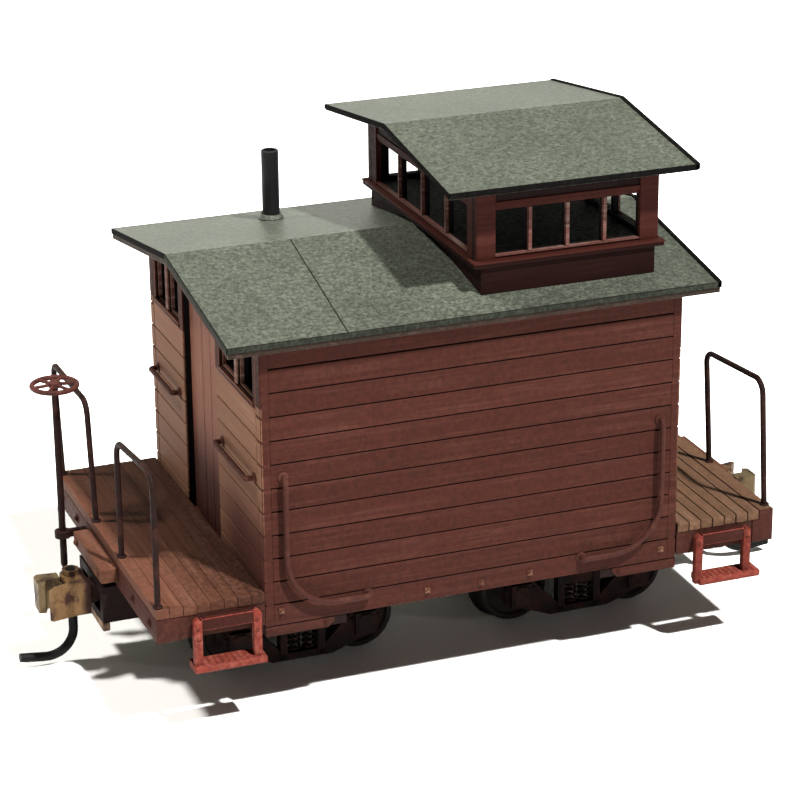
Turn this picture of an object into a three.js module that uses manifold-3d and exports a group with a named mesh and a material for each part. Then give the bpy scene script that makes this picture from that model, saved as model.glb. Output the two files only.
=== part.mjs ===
// HO scale model caboose on two four-wheel arch-bar trucks for 9 mm track.
// Millimetres, +Z up. The origin lies on the surface under the wheels, below the centre of the car.
// The hand-brake end is at -X and the cupola end at +X. Looking along +X, left is +Y.
import * as THREE from "three";
import { mergeVertices } from "three/addons/utils/BufferGeometryUtils.js";
import Module from "manifold-3d";

const wasm = await Module();
wasm.setup();

// ---- driving dimensions ----

const GAP = 0.05; // room between a sloping face and the piece that rests on it

const CABIN = { halfLength: 15.8, halfWidth: 13.2, wall: 0.9, bottom: 7.1 };
const DECK = { end: 23.7, halfWidth: 13.4, top: 9.8, thickness: 0.75 };
const FLOOR = { bottom: 7.35, top: DECK.top - DECK.thickness, sillSide: 13.3 };
const END_SILL = { inner: 22.0, bottom: 7.3, shownFrom: 22.55 };
const STRIKER = { depth: 1.3, halfWidth: 3.8, bottom: 7.9, top: 9.0 };

const ROOF = { halfLength: 18.3, halfWidth: 14.2, ridge: 30.7, eave: 28.4, thickness: 0.8 };
const DOOR = { offset: 0.8, halfWidth: 4.0, top: 26.9, thickness: 0.5 };
const END_WINDOW = { bottom: 23.4, top: 27.1, outer: 11.7, doorMargin: 0.9, mullion: 0.6 };

// The cupola stands a little to the right of the car's middle.
const CUPOLA = { y: -0.8, start: 0.7, end: 14.55, halfWidth: 10.7, wall: 0.7, sill: 31.25, top: 36.65 };
const CUPOLA_ROOF = { start: -2.05, end: 16.75, halfWidth: 12.5, ridge: 38.65, eave: 36.95, thickness: 0.45 };
const CUPOLA_WINDOW = {
  bottom: 31.55,
  top: 34.75,
  side: { width: 2.46, pitch: 2.84 },
  end: { width: 4.1, pitch: 4.6 },
};
const CUPOLA_SKIRT = { inset: 0.3, out: 0.15, band: 0.4, bandBottom: 30.85 };

const STACK = { x: -7.15, y: 9.7, radius: 0.65, bore: 0.45, bottom: 29.35, top: 34.5 };
const FLASHING = { radius: 0.95, bottom: 28.6, shoulder: 29.3, top: 29.6 };

const GRAB_WIRE = 0.2;
const SIDE_GRAB = { x: 14.3, top: 18.2, bottom: 8.4, end: 8.2, bend: 3.7, standoff: 0.5 };
const END_GRAB = { z: 17.8, outer: 11.7, doorMargin: 1.2, standoff: 0.65 };
const RAIL = { x: 23.4, wire: 0.22 };
// Each railing is bent by hand: the places of its two legs, their heights, and how far its top leans out.
const RAILINGS = {
  brake_end_right: { inner: 3.75, outer: 12.85, innerTop: 18.7, outerTop: 19.7, bend: 1.3, lean: 0 },
  brake_end_left: { inner: 3.1, outer: 12.7, innerTop: 19.2, outerTop: 18.9, bend: 1.0, lean: 0.3 },
  cupola_end_right: { inner: 3.55, outer: 12.5, innerTop: 18.9, outerTop: 19.7, bend: 1.0, lean: -0.55 },
  cupola_end_left: { inner: 3.55, outer: 12.5, innerTop: 18.9, outerTop: 19.7, bend: 1.0, lean: -0.55 },
};
const STEP = { hanger: 0.6, inner: 13.45, outer: 14.0, top: 8.95, bottom: 4.9, bar: 0.55 };
const TREAD = { inner: 12.7, outer: 14.3 };
// The middle and the half width of each end's hoops and treads, which are a little different at each end.
const STEP_PLACES = {
  brake_end: { hoop: 18.75, hoopHalf: 2.45, tread: 18.65, treadHalf: 2.6 },
  cupola_end: { hoop: 19.35, hoopHalf: 2.25, tread: 19.85, treadHalf: 2.45 },
};

const BRAKE = { x: -25.45, y: 5.25, staff: 0.27, bottom: 5.6, ring: 0.6 };
const BRAKE_WHEEL = { z: 20.0, rim: 1.65, rimWire: 0.18, hub: 0.45, rise: 0.35, drop: 0.15, spokes: 6 };

const BOX = { rear: 19.7, front: 24.8, halfWidth: 3.1, bottom: 4.5, top: 7.3, wall: 0.7 };
const COUPLER = { z: 5.85, pivot: 21.8, post: 0.6, eye: 1.3, shank: 0.85, shankHeight: 1.3 };
const HEAD = { rear: 25.2, front: 26.8, halfWidth: 1.45, bottom: 4.65, top: 7.05, lug: 0.42 };
const KNUCKLE_SIDE = -1.5;
// The guard arm's outline seen from above.
const GUARD_ARM = [[26.5, 0.75], [27.8, 1.1], [28.3, 1.55], [28.1, 1.8], [26.5, HEAD.halfWidth]];
const KNUCKLE_PIN = { x: 26.1, y: -0.75, hub: 0.62, lug: 0.82, room: 0.12 };
// The knuckle's outlines seen from above, drawn from its hinge pin.
const KNUCKLE = {
  arm: [[0, -0.6], [1.2, -0.65], [1.2, 0.3], [0, 0.5]],
  hook: [[0.9, -0.65], [2.35, -0.8], [2.65, -0.5], [2.65, 0.9], [2.2, 1.05], [1.9, 0.35], [0.9, 0.35]],
};
const TRIP_PIN = { wire: 0.34, low: 0.5, end: 30.2, endZ: 0.95, bend: 2.0 };

const TRUCK = { x: 11.0, halfBase: 4.8, frameInner: 6.1, frameOuter: 6.9 };
const TRUCK_BOLSTER = { halfWidth: 1.1, bottom: 3.6, top: 4.9 };
// Half of a side frame's outline, from the spring plank out to the axle box and up to the top arch bar.
const SIDE_FRAME = {
  half: [[2.3, 0.95], [5.9, 2.3], [5.9, 3.6], [5.3, 4.35], [2.2, 5.2]],
  barOpening: [[1.7, 1.8], [1.7, 4.45], [3.75, 3.9]],
  springOpening: { halfWidth: 1.15, bottom: 1.5, top: 3.2 },
};
const CENTRE_PLATE = { radius: 1.7, top: 5.3 };
const JOURNAL = { halfWidth: 0.8, halfHeight: 0.9, inner: 5.9, outer: 7.35, bearing: 0.5, bearingEnd: 6.6 };
const WHEEL = { tread: 2.65, flange: 3.05, outer: 5.65, flangeOuter: 4.25, inner: 3.78 };
const AXLE = { radius: 0.55, endRadius: 0.43, shoulder: 5.9, tip: 6.5 };
const BOLSTER = { halfWidth: 1.2, bottom: 6.4, bossBottom: 5.35 };
const CORNER_PLATE = { inner: 10.7, bottom: 6.3, chamfer: 0.45 };
const CENTRE_SILL = { halfWidth: 1.5, bottom: 6.3 };
const KING_PIN = { radius: 0.75, head: 1.3, headHeight: 0.65 };

// ---- materials ----

const paint = (color, roughness = 0.75) => new THREE.MeshStandardMaterial({ color, roughness, metalness: 0 });
const metal = (color, roughness) => new THREE.MeshStandardMaterial({ color, roughness, metalness: 1 });

const boxcarRed = paint(0x5e342c);
const deckBrown = paint(0x6b4a3c);
const roofGrey = paint(0x6c756b, 0.9);
const stepRed = paint(0x8c3a2c);
const wireBrown = paint(0x3a211c, 0.6);
const stackBlack = paint(0x1c1b1b, 0.6);
const underframeBrown = paint(0x2c1f1c, 0.8);
const couplerBrass = metal(0x9a7440, 0.45);
const blackenedSteel = metal(0x24221f, 0.5);
const pinSteel = metal(0x55514c, 0.4);

// ---- geometry helpers ----

// A box between two corners, given in any order.
function box(xs, ys, zs) {
  const spans = [xs, ys, zs].map(([a, b]) => [Math.min(a, b), Math.max(a, b)]);
  const size = spans.map(([low, high]) => high - low);
  const middle = spans.map(([low, high]) => (low + high) / 2);
  return new THREE.BoxGeometry(...size).translate(...middle);
}

const shapeOf = (points) => new THREE.Shape(points.map(([a, b]) => new THREE.Vector2(a, b)));

// An X-Y outline, raised from one height to another.
function plan(points, [z0, z1]) {
  const drawn = new THREE.ExtrudeGeometry(shapeOf(points), { depth: z1 - z0, bevelEnabled: false });
  return drawn.translate(0, 0, z0);
}

// An X-Z outline, drawn out along Y.
function across(points, [y0, y1]) {
  const depth = Math.abs(y1 - y0);
  const drawn = new THREE.ExtrudeGeometry(shapeOf(points), { depth, bevelEnabled: false });
  return drawn.rotateX(Math.PI / 2).translate(0, Math.max(y0, y1), 0);
}

// A Y-Z outline, drawn out along X.
const ALONG_X = new THREE.Matrix4().makeBasis(
  new THREE.Vector3(0, 1, 0),
  new THREE.Vector3(0, 0, 1),
  new THREE.Vector3(1, 0, 0),
);
function along(points, [x0, x1]) {
  const depth = Math.abs(x1 - x0);
  const drawn = new THREE.ExtrudeGeometry(shapeOf(points), { depth, bevelEnabled: false });
  return drawn.applyMatrix4(ALONG_X).translate(Math.min(x0, x1), 0, 0);
}

// An upright round bar.
function post(x, y, [z0, z1], radius, sides = 16) {
  return new THREE.CylinderGeometry(radius, radius, z1 - z0, sides)
    .rotateX(Math.PI / 2)
    .translate(x, y, (z0 + z1) / 2);
}

// A lathe profile of [radius, height] points, turned about an upright axis.
function turned(profile, x, y, sides = 20) {
  const points = profile.map(([r, z]) => new THREE.Vector2(r, z));
  return new THREE.LatheGeometry(points, sides).rotateX(Math.PI / 2).translate(x, y, 0);
}

// Wire bent round each inner corner of a route. Straights take one step and each bend takes several.
const BEND_STEPS = 4;
class BentWire extends THREE.Curve {
  constructor(corners, bends) {
    super();
    const at = corners.map((corner) => new THREE.Vector3(...corner));
    this.stops = [at[0]];
    for (let i = 1; i < at.length - 1; i++) this.addBend(at[i - 1], at[i], at[i + 1], bends[i - 1]);
    this.stops.push(at[at.length - 1]);
  }
  addBend(before, corner, after, radius) {
    const incoming = corner.clone().sub(before).normalize();
    const outgoing = after.clone().sub(corner).normalize();
    const turn = incoming.angleTo(outgoing);
    const start = corner.clone().addScaledVector(incoming, -radius * Math.tan(turn / 2));
    const axis = incoming.clone().cross(outgoing).normalize();
    const centre = start.clone().addScaledVector(axis.clone().cross(incoming), radius);
    for (let k = 0; k <= BEND_STEPS; k++) {
      const spoke = start.clone().sub(centre).applyAxisAngle(axis, (turn * k) / BEND_STEPS);
      this.stops.push(centre.clone().add(spoke));
    }
  }
  getPoint(t) {
    const place = t * (this.stops.length - 1);
    const i = Math.min(Math.floor(place), this.stops.length - 2);
    return this.stops[i].clone().lerp(this.stops[i + 1], place - i);
  }
  getPointAt(t) {
    return this.getPoint(t);
  }
  getTangentAt(t) {
    const last = this.stops.length - 1;
    const i = Math.round(t * last);
    const tangent = new THREE.Vector3();
    if (i > 0) tangent.add(this.stops[i].clone().sub(this.stops[i - 1]).normalize());
    if (i < last) tangent.add(this.stops[i + 1].clone().sub(this.stops[i]).normalize());
    return tangent.normalize();
  }
}

function wire(corners, bends, radius, sides = 6) {
  const path = new BentWire(corners, bends);
  const section = [];
  for (let k = 0; k < sides; k++) {
    const angle = (2 * Math.PI * k) / sides;
    section.push([radius * Math.cos(angle), radius * Math.sin(angle)]);
  }
  return new THREE.ExtrudeGeometry(shapeOf(section), { steps: path.stops.length - 1, extrudePath: path });
}

function solidOf(geometry) {
  const bare = geometry.clone();
  bare.deleteAttribute("normal");
  bare.deleteAttribute("uv");
  const merged = mergeVertices(bare, 1e-4);
  const vertProperties = merged.attributes.position.array;
  const triVerts = new Uint32Array(merged.index.array);
  return new wasm.Manifold(new wasm.Mesh({ numProp: 3, vertProperties, triVerts }));
}

function geometryOf(solid) {
  const { vertProperties, triVerts } = solid.getMesh();
  const geometry = new THREE.BufferGeometry();
  geometry.setAttribute("position", new THREE.BufferAttribute(vertProperties, 3));
  geometry.setIndex(new THREE.BufferAttribute(triVerts, 1));
  const flat = geometry.toNonIndexed();
  flat.computeVertexNormals();
  return flat;
}

const join = (...pieces) => geometryOf(pieces.map(solidOf).reduce((sum, piece) => sum.add(piece)));
const cut = (body, ...tools) =>
  geometryOf(tools.map(solidOf).reduce((rest, tool) => rest.subtract(tool), solidOf(body)));

// ---- shared outlines ----

const slopeOf = (roof) => (roof.ridge - roof.eave) / roof.halfWidth;
const topOf = (roof, y) => roof.ridge - slopeOf(roof) * Math.abs(y);
const undersideOf = (roof, y) => topOf(roof, y) - roof.thickness;

function roofOutline(roof) {
  const { halfWidth, ridge, eave, thickness } = roof;
  return [
    [-halfWidth, eave - thickness],
    [0, ridge - thickness],
    [halfWidth, eave - thickness],
    [halfWidth, eave],
    [0, ridge],
    [-halfWidth, eave],
  ];
}

// Each end of the car: its name and the sign of its X. The ends are the same piece turned half round.
const ENDS = [
  { end: "brake_end", sx: -1 },
  { end: "cupola_end", sx: 1 },
];
const SIDES = [
  { side: "right", sy: -1 },
  { side: "left", sy: 1 },
];

const caboose = new THREE.Group();

function add(name, geometry, material) {
  const mesh = new THREE.Mesh(geometry, material);
  mesh.name = name;
  caboose.add(mesh);
}

// Turns a piece that was built for the +X end to the end it belongs to.
const turnTo = (sx, geometry) => (sx < 0 ? geometry.rotateZ(Math.PI) : geometry);

// ---- underframe ----

function floorOutline() {
  const inner = CABIN.halfWidth - CABIN.wall - GAP;
  const shoulder = CABIN.halfLength + GAP;
  const quarter = [[END_SILL.inner, FLOOR.sillSide], [shoulder, FLOOR.sillSide], [shoulder, inner]];
  const left = [...quarter, ...quarter.toReversed().map(([x, y]) => [-x, y])];
  return [...left, ...left.toReversed().map(([x, y]) => [x, -y])];
}

function bodyBolster() {
  const { halfWidth, bottom, bossBottom } = BOLSTER;
  const plate = CORNER_PLATE;
  const reach = CABIN.halfWidth - 0.05;
  const underSiding = CABIN.bottom - GAP;
  const inside = CABIN.halfWidth - CABIN.wall - GAP;
  const plateOutline = [
    [plate.inner, underSiding],
    [plate.inner, plate.bottom + plate.chamfer],
    [plate.inner + plate.chamfer, plate.bottom],
    [CABIN.halfLength, plate.bottom],
    [CABIN.halfLength, underSiding],
  ];
  const span = [TRUCK.x - halfWidth, TRUCK.x + halfWidth];
  const body = join(
    box(span, [-reach, reach], [bottom, underSiding]),
    box(span, [-inside, inside], [bottom, FLOOR.bottom]),
    post(TRUCK.x, 0, [bossBottom, bottom + 0.2], CENTRE_PLATE.radius),
    across(plateOutline, [inside + 0.1, CABIN.halfWidth]),
    across(plateOutline, [-inside - 0.1, -CABIN.halfWidth]),
  );
  return cut(body, post(TRUCK.x, 0, [bossBottom - 1, FLOOR.bottom + 1], KING_PIN.radius + GAP));
}

// The planks lie over the whole sill at the hand-brake end. At the other end they stop against its rabbet.
function endSill(planksEnd) {
  const beam = [[END_SILL.inner, END_SILL.bottom], [DECK.end, END_SILL.bottom]];
  const flush = [[DECK.end, FLOOR.top], [END_SILL.inner, FLOOR.top]];
  const rabbet = [[DECK.end, DECK.top], [planksEnd, DECK.top], [planksEnd, FLOOR.top], flush[1]];
  const outline = [...beam, ...(planksEnd < DECK.end ? rabbet : flush)];
  return across(outline, [-DECK.halfWidth, DECK.halfWidth]);
}

function addUnderframe() {
  const sillEnd = TRUCK.x - CENTRE_PLATE.radius - GAP;
  add("underframe_floor", plan(floorOutline(), [FLOOR.bottom, FLOOR.top]), underframeBrown);
  const sillWidth = [-CENTRE_SILL.halfWidth, CENTRE_SILL.halfWidth];
  const sillHeights = [CENTRE_SILL.bottom, FLOOR.bottom];
  add("center_sill", box([-sillEnd, sillEnd], sillWidth, sillHeights), underframeBrown);
  for (const { end, sx } of ENDS) {
    const width = [-DECK.halfWidth, DECK.halfWidth];
    const planksEnd = sx < 0 ? DECK.end : END_SILL.shownFrom;
    const deckSpan = [sx * (CABIN.halfLength + GAP), sx * planksEnd];
    const strikerSpan = [sx * DECK.end, sx * (DECK.end + STRIKER.depth)];
    const strikerWidth = [-STRIKER.halfWidth, STRIKER.halfWidth];
    add("body_bolster_" + end, turnTo(sx, bodyBolster()), underframeBrown);
    add("end_sill_" + end, turnTo(sx, endSill(planksEnd)), boxcarRed);
    add("striker_block_" + end, box(strikerSpan, strikerWidth, [STRIKER.bottom, STRIKER.top]), boxcarRed);
    add("platform_deck_" + end, box(deckSpan, width, [FLOOR.top, DECK.top]), deckBrown);
  }
}

// ---- cabin ----

// Two panes with a mullion between them, as tools that open an end wall between two Y values.
function twoPanes(y0, y1) {
  const pane = (y1 - y0 - END_WINDOW.mullion) / 2;
  const xs = [CABIN.halfLength - 2 * CABIN.wall, CABIN.halfLength + CABIN.wall];
  const zs = [END_WINDOW.bottom, END_WINDOW.top];
  return [box(xs, [y0, y0 + pane], zs), box(xs, [y1 - pane, y1], zs)];
}

function endWall() {
  const reach = CABIN.halfWidth - CABIN.wall - GAP;
  const low = -DOOR.offset - DOOR.halfWidth;
  const high = -DOOR.offset + DOOR.halfWidth;
  const outline = [
    [-reach, FLOOR.top],
    [low, FLOOR.top],
    [low, DOOR.top],
    [high, DOOR.top],
    [high, FLOOR.top],
    [reach, FLOOR.top],
    [reach, undersideOf(ROOF, reach) - GAP],
    [0, undersideOf(ROOF, 0) - GAP],
    [-reach, undersideOf(ROOF, reach) - GAP],
  ];
  const windows = [
    ...twoPanes(-END_WINDOW.outer, low - END_WINDOW.doorMargin),
    ...twoPanes(high + END_WINDOW.doorMargin, END_WINDOW.outer),
  ];
  return cut(along(outline, [CABIN.halfLength - CABIN.wall, CABIN.halfLength]), ...windows);
}

function door() {
  const inner = CABIN.halfLength - CABIN.wall;
  const half = DOOR.halfWidth - GAP;
  const ys = [-DOOR.offset - half, -DOOR.offset + half];
  return box([inner, inner + DOOR.thickness], ys, [FLOOR.top, DOOR.top - GAP]);
}

// Everything under the middle of the main roof's boards.
function belowRoof() {
  const middle = roofOutline(ROOF).slice(3).map(([y, z]) => [y, z - ROOF.thickness / 2]);
  const floor = [[-ROOF.halfWidth, ROOF.eave - 3], [ROOF.halfWidth, ROOF.eave - 3]];
  return along([...floor, ...middle], [-ROOF.halfLength, ROOF.halfLength]);
}

// The main roof with its top lifted by the gap, as a tool that fits a piece to it.
function raisedRoof() {
  const raised = roofOutline(ROOF).map(([y, z]) => [y, z + GAP]);
  return along(raised, [-ROOF.halfLength, ROOF.halfLength]);
}

function smokeStack() {
  const { x, y, radius, bore, bottom, top } = STACK;
  const plug = bottom + 0.8;
  const profile = [[0, bottom], [radius, bottom], [radius, top], [bore, top], [bore, plug], [0, plug]];
  return turned(profile, x, y, 16);
}

function stackFlashing() {
  const inner = STACK.radius + GAP;
  const { radius, bottom, shoulder, top } = FLASHING;
  const profile = [[inner, bottom], [radius, bottom], [radius, shoulder], [inner + 0.1, top], [inner, top]];
  return cut(turned([...profile, profile[0]], STACK.x, STACK.y, 16), raisedRoof());
}

function addCabin() {
  const wallTop = undersideOf(ROOF, CABIN.halfWidth) - GAP;
  const length = [-CABIN.halfLength, CABIN.halfLength];
  for (const { side, sy } of SIDES) {
    const ys = [sy * (CABIN.halfWidth - CABIN.wall), sy * CABIN.halfWidth];
    add("side_wall_" + side, box(length, ys, [CABIN.bottom, wallTop]), boxcarRed);
  }
  for (const { end, sx } of ENDS) {
    add("end_wall_" + end, turnTo(sx, endWall()), boxcarRed);
    add("door_" + end, turnTo(sx, door()), boxcarRed);
  }
  add("main_roof", along(roofOutline(ROOF), [-ROOF.halfLength, ROOF.halfLength]), roofGrey);
  add("smoke_stack", smokeStack(), stackBlack);
  add("stack_flashing", stackFlashing(), roofGrey);
}

// ---- cupola ----

// The skirt sits astride the ridge, and a wider band on top of it carries the four walls.
function cupolaBase() {
  const { inset, out, band, bandBottom } = CUPOLA_SKIRT;
  const skirtHalf = CUPOLA.halfWidth + out;
  const bandHalf = CUPOLA.halfWidth + band;
  const low = ROOF.eave;
  const block = join(
    box([CUPOLA.start + inset, CUPOLA.end - inset], [-skirtHalf, skirtHalf], [low, CUPOLA.sill]),
    box([CUPOLA.start - inset, CUPOLA.end + inset], [-bandHalf, bandHalf], [bandBottom, CUPOLA.sill]),
  );
  return cut(block.translate(0, CUPOLA.y, 0), raisedRoof(), belowRoof());
}

// The low and high edges of four equal openings in a row about a middle.
function windowRow(middle, { width, pitch }) {
  return [-1.5, -0.5, 0.5, 1.5].map((place) => {
    const at = middle + place * pitch;
    return [at - width / 2, at + width / 2];
  });
}
const windowHeights = [CUPOLA_WINDOW.bottom, CUPOLA_WINDOW.top];

function cupolaSide(sy) {
  const { start, end, halfWidth, wall, sill, top } = CUPOLA;
  const windows = windowRow((start + end) / 2, CUPOLA_WINDOW.side);
  const through = [sy * (halfWidth - 2 * wall), sy * (halfWidth + wall)];
  const openings = windows.map((xs) => box(xs, through, windowHeights));
  return cut(box([start, end], [sy * (halfWidth - wall), sy * halfWidth], [sill, top]), ...openings);
}

function cupolaEnd(x) {
  const half = CUPOLA.halfWidth - CUPOLA.wall - GAP;
  const under = (y) => undersideOf(CUPOLA_ROOF, y) - GAP;
  const gable = [[half, under(half)], [0, under(0)], [-half, under(half)]];
  const outline = [[-half, CUPOLA.sill], [half, CUPOLA.sill], ...gable];
  const windows = windowRow(0, CUPOLA_WINDOW.end);
  const openings = windows.map((ys) => box([x - 1, x + CUPOLA.wall + 1], ys, windowHeights));
  return cut(along(outline, [x, x + CUPOLA.wall]), ...openings);
}

function addCupola() {
  const roof = along(roofOutline(CUPOLA_ROOF), [CUPOLA_ROOF.start, CUPOLA_ROOF.end]);
  const front = CUPOLA.end - CUPOLA.wall;
  add("cupola_base", cupolaBase(), boxcarRed);
  for (const { side, sy } of SIDES) {
    add("cupola_side_" + side, cupolaSide(sy).translate(0, CUPOLA.y, 0), boxcarRed);
  }
  add("cupola_end_rear", cupolaEnd(CUPOLA.start).translate(0, CUPOLA.y, 0), boxcarRed);
  add("cupola_end_front", cupolaEnd(front).translate(0, CUPOLA.y, 0), boxcarRed);
  add("cupola_roof", roof.translate(0, CUPOLA.y, 0), roofGrey);
}

// ---- grab irons, railings and steps ----

function sideGrab(sx, sy) {
  const wall = CABIN.halfWidth + 0.02;
  const out = wall + SIDE_GRAB.standoff;
  const { x, top, bottom, end, bend } = SIDE_GRAB;
  const upper = [[x, wall, top], [x, out, top]];
  const lower = [[x, out, bottom], [end, out, bottom], [end, wall, bottom]];
  const corners = [...upper, ...lower].map(([a, b, z]) => [sx * a, sy * b, z]);
  return wire(corners, [0.25, bend, 0.25], GRAB_WIRE);
}

// The doorway is off the car's centre, so the grab iron beside it starts at the door's own margin.
function endGrab(sx, sy) {
  const wall = CABIN.halfLength + 0.02;
  const out = wall + END_GRAB.standoff;
  const start = DOOR.halfWidth + END_GRAB.doorMargin - sx * sy * DOOR.offset;
  const { z, outer } = END_GRAB;
  const corners = [[wall, start], [out, start], [out, outer], [wall, outer]];
  return wire(corners.map(([a, b]) => [sx * a, sy * b, z]), [0.25, 0.25], GRAB_WIRE);
}

function endRail(sx, sy, bends) {
  const { inner, outer, innerTop, outerTop, bend, lean } = bends;
  const foot = DECK.top + 0.02;
  const out = RAIL.x + lean;
  const top = [[out, inner, innerTop], [out, outer, outerTop]];
  const corners = [[RAIL.x, inner, foot], ...top, [RAIL.x, outer, foot]];
  return wire(corners.map(([a, b, z]) => [sx * a, sy * b, z]), [bend, bend], RAIL.wire);
}

function step(sx, sy, places) {
  const { hanger, inner, outer, top, bottom, bar } = STEP;
  const span = (x, half) => [sx * (x - half), sx * (x + half)];
  const ys = [sy * inner, sy * outer];
  const through = [sy * (inner - 1), sy * (outer + 1)];
  const hoop = cut(
    box(span(places.hoop, places.hoopHalf), ys, [bottom, top]),
    box(span(places.hoop, places.hoopHalf - hanger), through, [bottom + bar, top - bar]),
  );
  const treadYs = [sy * TREAD.inner, sy * TREAD.outer];
  return join(hoop, box(span(places.tread, places.treadHalf), treadYs, [bottom, bottom + bar]));
}

function addHandholdsAndSteps() {
  for (const { end, sx } of ENDS)
    for (const { side, sy } of SIDES) {
      const corner = end + "_" + side;
      add("side_grab_iron_" + corner, sideGrab(sx, sy), wireBrown);
      add("end_grab_iron_" + corner, endGrab(sx, sy), wireBrown);
      add("end_railing_" + corner, endRail(sx, sy, RAILINGS[corner]), wireBrown);
      add("step_" + corner, step(sx, sy, STEP_PLACES[end]), stepRed);
    }
}

// ---- hand brake ----

function brakeWheel() {
  const { x, y } = BRAKE;
  const { z, rim, rimWire, hub, rise, drop, spokes } = BRAKE_WHEEL;
  const pieces = [
    new THREE.TorusGeometry(rim, rimWire, 6, 24).translate(x, y, z),
    post(x, y, [z - drop, z + rise], hub, 12),
  ];
  for (let k = 0; k < spokes; k++) {
    const spoke = box([0, rim], [-0.13, 0.13], [-0.1, 0.1]).rotateZ((2 * Math.PI * k) / spokes);
    pieces.push(spoke.translate(x, y, z));
  }
  return join(...pieces);
}

function brakeBracket() {
  const { x, y, staff, ring } = BRAKE;
  const heights = [STRIKER.bottom + 0.1, STRIKER.bottom + 0.6];
  const arm = box([x, -DECK.end], [y - 0.25, y + 0.25], heights);
  const reach = [heights[0] - 1, heights[1] + 1];
  return cut(join(post(x, y, heights, ring, 12), arm), post(x, y, reach, staff + 0.07, 12));
}

function addHandBrake() {
  const { x, y, staff, bottom } = BRAKE;
  const top = BRAKE_WHEEL.z - BRAKE_WHEEL.drop;
  add("brake_staff", post(x, y, [bottom, top], staff, 10), wireBrown);
  add("brake_wheel", brakeWheel(), wireBrown);
  add("brake_bracket", brakeBracket(), wireBrown);
}

// ---- couplers, built pointing along +X ----

const shankHeights = [COUPLER.z - COUPLER.shankHeight / 2, COUPLER.z + COUPLER.shankHeight / 2];
const hubHeights = [HEAD.bottom + HEAD.lug, HEAD.top - HEAD.lug];

function couplerBox() {
  const { rear, front, halfWidth, bottom, top, wall } = BOX;
  const clear = [shankHeights[0] - 0.15, shankHeights[1] + 0.15];
  const shell = box([rear, front], [-halfWidth, halfWidth], [bottom, top]);
  const pocket = box([rear + wall, front + 1], [-halfWidth + wall, halfWidth - wall], clear);
  return join(cut(shell, pocket), post(COUPLER.pivot, 0, [bottom + 0.1, top - 0.1], COUPLER.post));
}

function couplerHead() {
  const { rear, front, halfWidth, bottom, top, lug } = HEAD;
  const { x, y, hub, lug: lugRadius, room } = KNUCKLE_PIN;
  const pinRoom = TRIP_PIN.wire + 0.06;
  const lugOutline = [[rear, KNUCKLE_SIDE], [x, KNUCKLE_SIDE], [x, 0.1], [rear, 0.1]];
  const lowLug = [bottom, bottom + lug];
  const highLug = [top - lug, top];
  const body = join(
    post(COUPLER.pivot, 0, shankHeights, COUPLER.eye),
    box([COUPLER.pivot, rear + 0.3], [-COUPLER.shank, COUPLER.shank], shankHeights),
    box([rear, front], [0, halfWidth], [bottom, top]),
    plan(GUARD_ARM, [bottom, top]),
    box([rear, rear + 0.2], [KNUCKLE_SIDE, 0.1], [bottom, top]),
    ...[lowLug, highLug].flatMap((heights) => [plan(lugOutline, heights), post(x, y, heights, lugRadius)]),
    post(x, y, [top - 0.1, top + 0.4], hub),
  );
  return cut(
    body,
    post(x, y, hubHeights, hub + room),
    post(x, y, [bottom - 1, top + 1], pinRoom),
    post(COUPLER.pivot, 0, [shankHeights[0] - 1, shankHeights[1] + 1], COUPLER.post + 0.08),
  );
}

function knuckle() {
  const { x, y, hub } = KNUCKLE_PIN;
  const fromPin = (points) => points.map(([a, b]) => [x + a, y + b]);
  const heights = [hubHeights[0] + 0.05, hubHeights[1] - 0.05];
  const body = join(
    post(x, y, heights, hub),
    plan(fromPin(KNUCKLE.arm), heights),
    plan(fromPin(KNUCKLE.hook), [HEAD.bottom + 0.05, HEAD.top - 0.05]),
  );
  return cut(body, post(x, y, [heights[0] - 1, heights[1] + 1], TRIP_PIN.wire + 0.06));
}

function tripPin() {
  const { x, y } = KNUCKLE_PIN;
  const corners = [[x, y, HEAD.top + 0.45], [x, y, TRIP_PIN.low], [TRIP_PIN.end, y, TRIP_PIN.endZ]];
  return wire(corners, [TRIP_PIN.bend], TRIP_PIN.wire, 8);
}

function addCouplers() {
  for (const { end, sx } of ENDS) {
    add("coupler_box_" + end, turnTo(sx, couplerBox()), underframeBrown);
    add("coupler_head_" + end, turnTo(sx, couplerHead()), couplerBrass);
    add("knuckle_" + end, turnTo(sx, knuckle()), couplerBrass);
    add("trip_pin_" + end, turnTo(sx, tripPin()), blackenedSteel);
  }
}

// ---- trucks, built about the swivel axis ----

function sideFrame(sy) {
  const { frameInner, frameOuter } = TRUCK;
  const { half, barOpening, springOpening } = SIDE_FRAME;
  const mirrored = (points) => points.toReversed().map(([x, z]) => [-x, z]);
  const springs = [-springOpening.halfWidth, springOpening.halfWidth];
  const through = [sy * (frameInner - 1), sy * (frameOuter + 1)];
  return cut(
    across([...half, ...mirrored(half)], [sy * frameInner, sy * frameOuter]),
    across(barOpening, through),
    across(mirrored(barOpening), through),
    box(springs, through, [springOpening.bottom, springOpening.top]),
  );
}

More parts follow.
